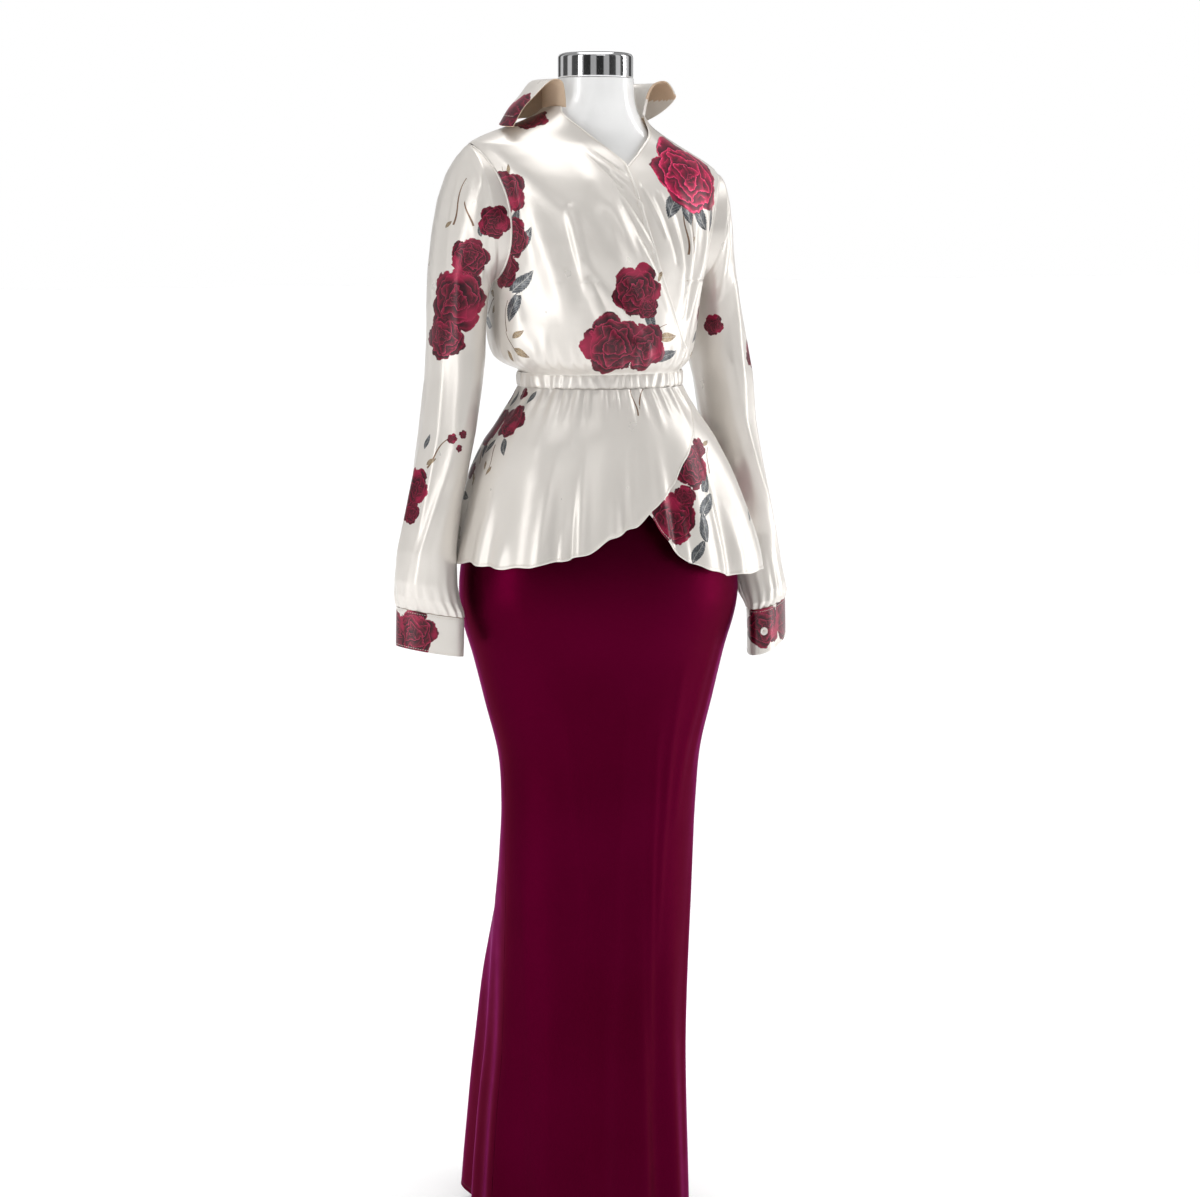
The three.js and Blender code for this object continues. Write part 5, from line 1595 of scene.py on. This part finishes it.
def stitches(name, line, material):
    """A row of stitches along a line of points."""
    points, normals = line
    walked = np.concatenate([[0], np.cumsum(np.linalg.norm(np.diff(points, axis=0), axis=1))])
    at = np.arange(1, walked[-1] - STITCH_LONG, STITCH_STEP)

    def read(values, s):
        return np.stack([np.interp(s, walked, values[:, i]) for i in range(3)], axis=1)

    out = unit(read(normals, at + STITCH_LONG / 2))
    return thread_bars(name, read(points, at), read(points, at + STITCH_LONG), out, STITCH_R, material)


def edge_stitches():
    """The rows of topstitching beside the edges of the blouse's fronts, collar and casing."""
    z = np.linspace(1200, 1514, 700)
    over = upper_edge(z) - 6 / BODICE_MM
    yield stitches("stitches_over_edge", line_on(bodice, over, z, lap_out(over, z)), IVORY_THREAD)
    z = np.linspace(1444, 1514, 300)
    yield stitches("stitches_under_edge", line_on(bodice, lower_edge(z) + 6 / BODICE_MM, z), IVORY_THREAD)
    u = np.linspace(-0.97, 0.97, 900)
    fold = line_on(collar_surface, u, 0 * u + len(COLLAR["backUp"]) - 1.4, CLOTH, -1)
    yield stitches("stitches_collar", fold, IVORY_THREAD)
    angle = np.linspace(-180, 180, 1400)
    for name, v in (("low", 0.13), ("high", 0.87)):
        rise = casing_lift(angle, v + 0 * angle) + (CASING - CLOTH) / 2
        yield stitches("stitches_casing_" + name, line_on(casing_surface, angle, v + 0 * angle, rise), IVORY_THREAD)


def hem_stitches():
    """The rows of stitches above the hems of the peplum and the skirt."""
    hems = (
        ("right", -89, 58, UPPER_HEM, upper_peplum_lift),
        ("left", -58, 89, LOWER_HEM, no_lift),
        ("back", 91, 269, BACK_HEM, no_lift),
    )
    for name, first, last, hem, lift in hems:
        angle = np.linspace(first, last, 900)
        z = hem_z(hem, angle) + HEM_WIDE + 0.8
        yield stitches("stitches_peplum_" + name, line_on(peplum, angle, z, lift(angle, z)), IVORY_THREAD)
    angle = np.linspace(-180, 180, 1800)
    yield stitches("stitches_skirt_hem", line_on(skirt, angle, SKIRT_HEM_Z + 7 + 0 * angle), BURGUNDY_THREAD)


def cuff_stitches():
    """Two rows of stitches round each cuff."""
    for name, rows, sign, open_at in CUFFS:
        angle = np.linspace(open_at + 2, open_at + 358 + CUFF_OVERLAP, 700)
        last = len(rows["deep"]) - 1
        for end, v in (("high", 0.16), ("low", last - 0.16)):
            lift = cuff_lift(angle, open_at) + 0.12
            line = line_on(lambda a, w: ring_point(rows, w, a, sign), angle, v + 0 * angle, lift, -sign)
            yield stitches("stitches_cuff_" + name + "_" + end, line, IVORY_THREAD)


# ---- Put together ----
CUTS = {
    # node: flat width and length in metres, share of that box which the cut fills, how it is held, what holds it
    "bodice_right_front": (0.42, 0.36, 0.7, "gathered", "form_body"),
    "bodice_left_front": (0.36, 0.36, 0.65, "gathered", "form_body"),
    "bodice_back": (0.44, 0.36, 0.8, "gathered", "form_body"),
    "collar": (0.42, 0.1, 0.9, "folded", "bodice_back_cloth"),
    "peplum_right_front": (0.52, 0.25, 0.62, "gathered", "blouse_waistband"),
    "peplum_left_front": (0.52, 0.27, 0.62, "gathered", "blouse_waistband"),
    "peplum_back": (0.58, 0.26, 0.85, "gathered", "blouse_waistband"),
    "sleeve_right": (0.36, 0.55, 0.82, "gathered", "bodice_back_cloth"),
    "sleeve_left": (0.34, 0.57, 0.82, "gathered", "bodice_back_cloth"),
    "cuff_right": (0.24, 0.05, 1.0, "folded", "sleeve_right_cloth"),
    "cuff_left": (0.24, 0.06, 1.0, "folded", "sleeve_left_cloth"),
    "skirt_front": (0.52, 1.12, 0.75, "hung", "form_body"),
    "skirt_back": (1.0, 1.15, 0.6, "hung", "form_body"),
}
SLOTS = {
    "skirt": "burgundy_satin",
    "cuff_button": "pearl_button",
    "form": "form_white",
    "neck": "chrome_cap",
    "stand": "stand_steel",
}


def slot_of(node):
    """The name of the material slot for a node."""
    for start, slot in SLOTS.items():
        if node.startswith(start):
            return slot
    return "ivory_satin"


def join_up(made):
    """Hangs each piece on the root and hides the node it replaces. Its slot and the cut of its sheet are read but
    not used.
    """
    for node, piece in made.items():
        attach(piece, "root")
        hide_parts(node)
        slot_of(node)
        if node in CUTS:
            wide, length, share, held, on = CUTS[node]


def make_camera():
    """The photograph's view: from the wearer's right of the front, a little above the chest, looking down."""
    data = bpy.data.cameras.new("camera")
    data.sensor_width, data.lens = 36.0, 72.0
    camera = bpy.data.objects.new("camera", data)
    turn, pitch, away, high = math.radians(-24), math.radians(9.2), 3.12, 1.395
    camera.location = (away * math.sin(turn), -away * math.cos(turn), high)
    camera.rotation_euler = (math.radians(90) - pitch, 0, turn)
    bpy.context.scene.collection.objects.link(camera)
    bpy.context.scene.camera = camera


def area_light(name, place, target, wide, high, watts):
    """A white rectangle of light, turned to its target."""
    data = bpy.data.lights.new(name, "AREA")
    data.shape, data.size, data.size_y = "RECTANGLE", wide, high
    data.energy = watts
    light = bpy.data.objects.new(name, data)
    light.location = place
    light.rotation_euler = (Vector(target) - Vector(place)).to_track_quat("-Z", "Y").to_euler()
    bpy.context.scene.collection.objects.link(light)


def make_studio():
    """A white floor, three lights, a high sun and the backdrop."""
    mesh = bpy.data.meshes.new("floor")
    size = 40.0
    mesh.from_pydata([(-size, -size, 0), (size, -size, 0), (size, size, 0), (-size, size, 0)], [], [(0, 1, 2, 3)])
    mesh.materials.append(floor_paint())
    floor = bpy.data.objects.new("floor", mesh)
    bpy.context.scene.collection.objects.link(floor)
    area_light("left_strip", (-2.7, -0.9, 1.5), (0, 0, 1.0), 0.5, 2.6, 22)
    area_light("right_strip", (2.1, -0.5, 1.4), (0, 0, 0.9), 0.4, 2.6, 22)
    area_light("front_fill", (-0.4, -3.2, 2.9), (0, 0, 1.1), 1.6, 1.0, 7)
    data = bpy.data.lights.new("ceiling", "SUN")
    data.energy, data.angle = 2.4, math.radians(60)
    ceiling = bpy.data.objects.new("ceiling", data)
    bpy.context.scene.collection.objects.link(ceiling)
    make_world()
    bpy.context.scene.view_settings.view_transform = "Standard"


def make_world():
    """A white backdrop, which lights the set as a studio does: bright, with dark gaps between its strips."""
    world = bpy.data.worlds.new("studio")
    bpy.context.scene.world = world
    world.use_nodes = True
    n = Nodes(world.node_tree)
    out = world.node_tree.nodes["World Output"]
    backdrop = world.node_tree.nodes["Background"]
    backdrop.inputs["Color"].default_value = grey(1.0)
    way = n.add("ShaderNodeTexCoord").outputs["Generated"]
    parts = n.add("ShaderNodeSeparateXYZ", Vector=way)
    turn = n.math("ARCTAN2", parts.outputs["X"], parts.outputs["Y"])
    strips = n.between(n.math("SINE", n.times(turn, 9.0)), 0.05, 0.35)
    level = n.between(n.math("ABSOLUTE", parts.outputs["Z"]), 0.75, 0.2)
    ahead = n.plus(n.times(parts.outputs["X"], -0.407), n.times(parts.outputs["Y"], -0.914))
    front = n.between(ahead, 0.2, 0.95)
    glow = n.minus(0.4, n.times(front, 0.26))
    gaps = n.times(level, n.minus(1.0, strips))
    glow = n.times(glow, n.minus(1.0, n.times(gaps, 0.75)))
    glow = n.plus(glow, n.times(n.times(strips, level), 0.35))
    studio = n.add("ShaderNodeBackground", Strength=glow)
    seen = n.add("ShaderNodeLightPath").outputs["Is Camera Ray"]
    mix = world.node_tree.nodes.new("ShaderNodeMixShader")
    n.feed(mix.inputs[0], seen)
    n.feed(mix.inputs[1], studio.outputs[0])
    n.feed(mix.inputs[2], backdrop.outputs[0])
    n.feed(out.inputs["Surface"], mix.outputs[0])


pieces = make_blouse() | make_skirt()
pieces["cuff_button_right"], thread_right = make_button("button_right", RIGHT_CUFF, -1, RIGHT_CUFF_OPEN)
pieces["cuff_button_left"], thread_left = make_button("button_left", LEFT_CUFF, 1, LEFT_CUFF_OPEN)
pieces["form_body"] = make_form()
pieces["neck_cap"] = make_cap()
pieces["stand_pole"] = make_pole()
pieces["stand_base"] = make_base()
join_up(pieces)
rolls = [armhole_roll("armhole_seam_right", -1), armhole_roll("armhole_seam_left", 1)]
rolls += [skirt_roll("skirt_seam_right", -1), skirt_roll("skirt_seam_left", 1)]
for row in [thread_right, thread_left, *rolls, *edge_stitches(), *hem_stitches(), *cuff_stitches()]:
    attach(row, "root")
make_camera()
make_studio()
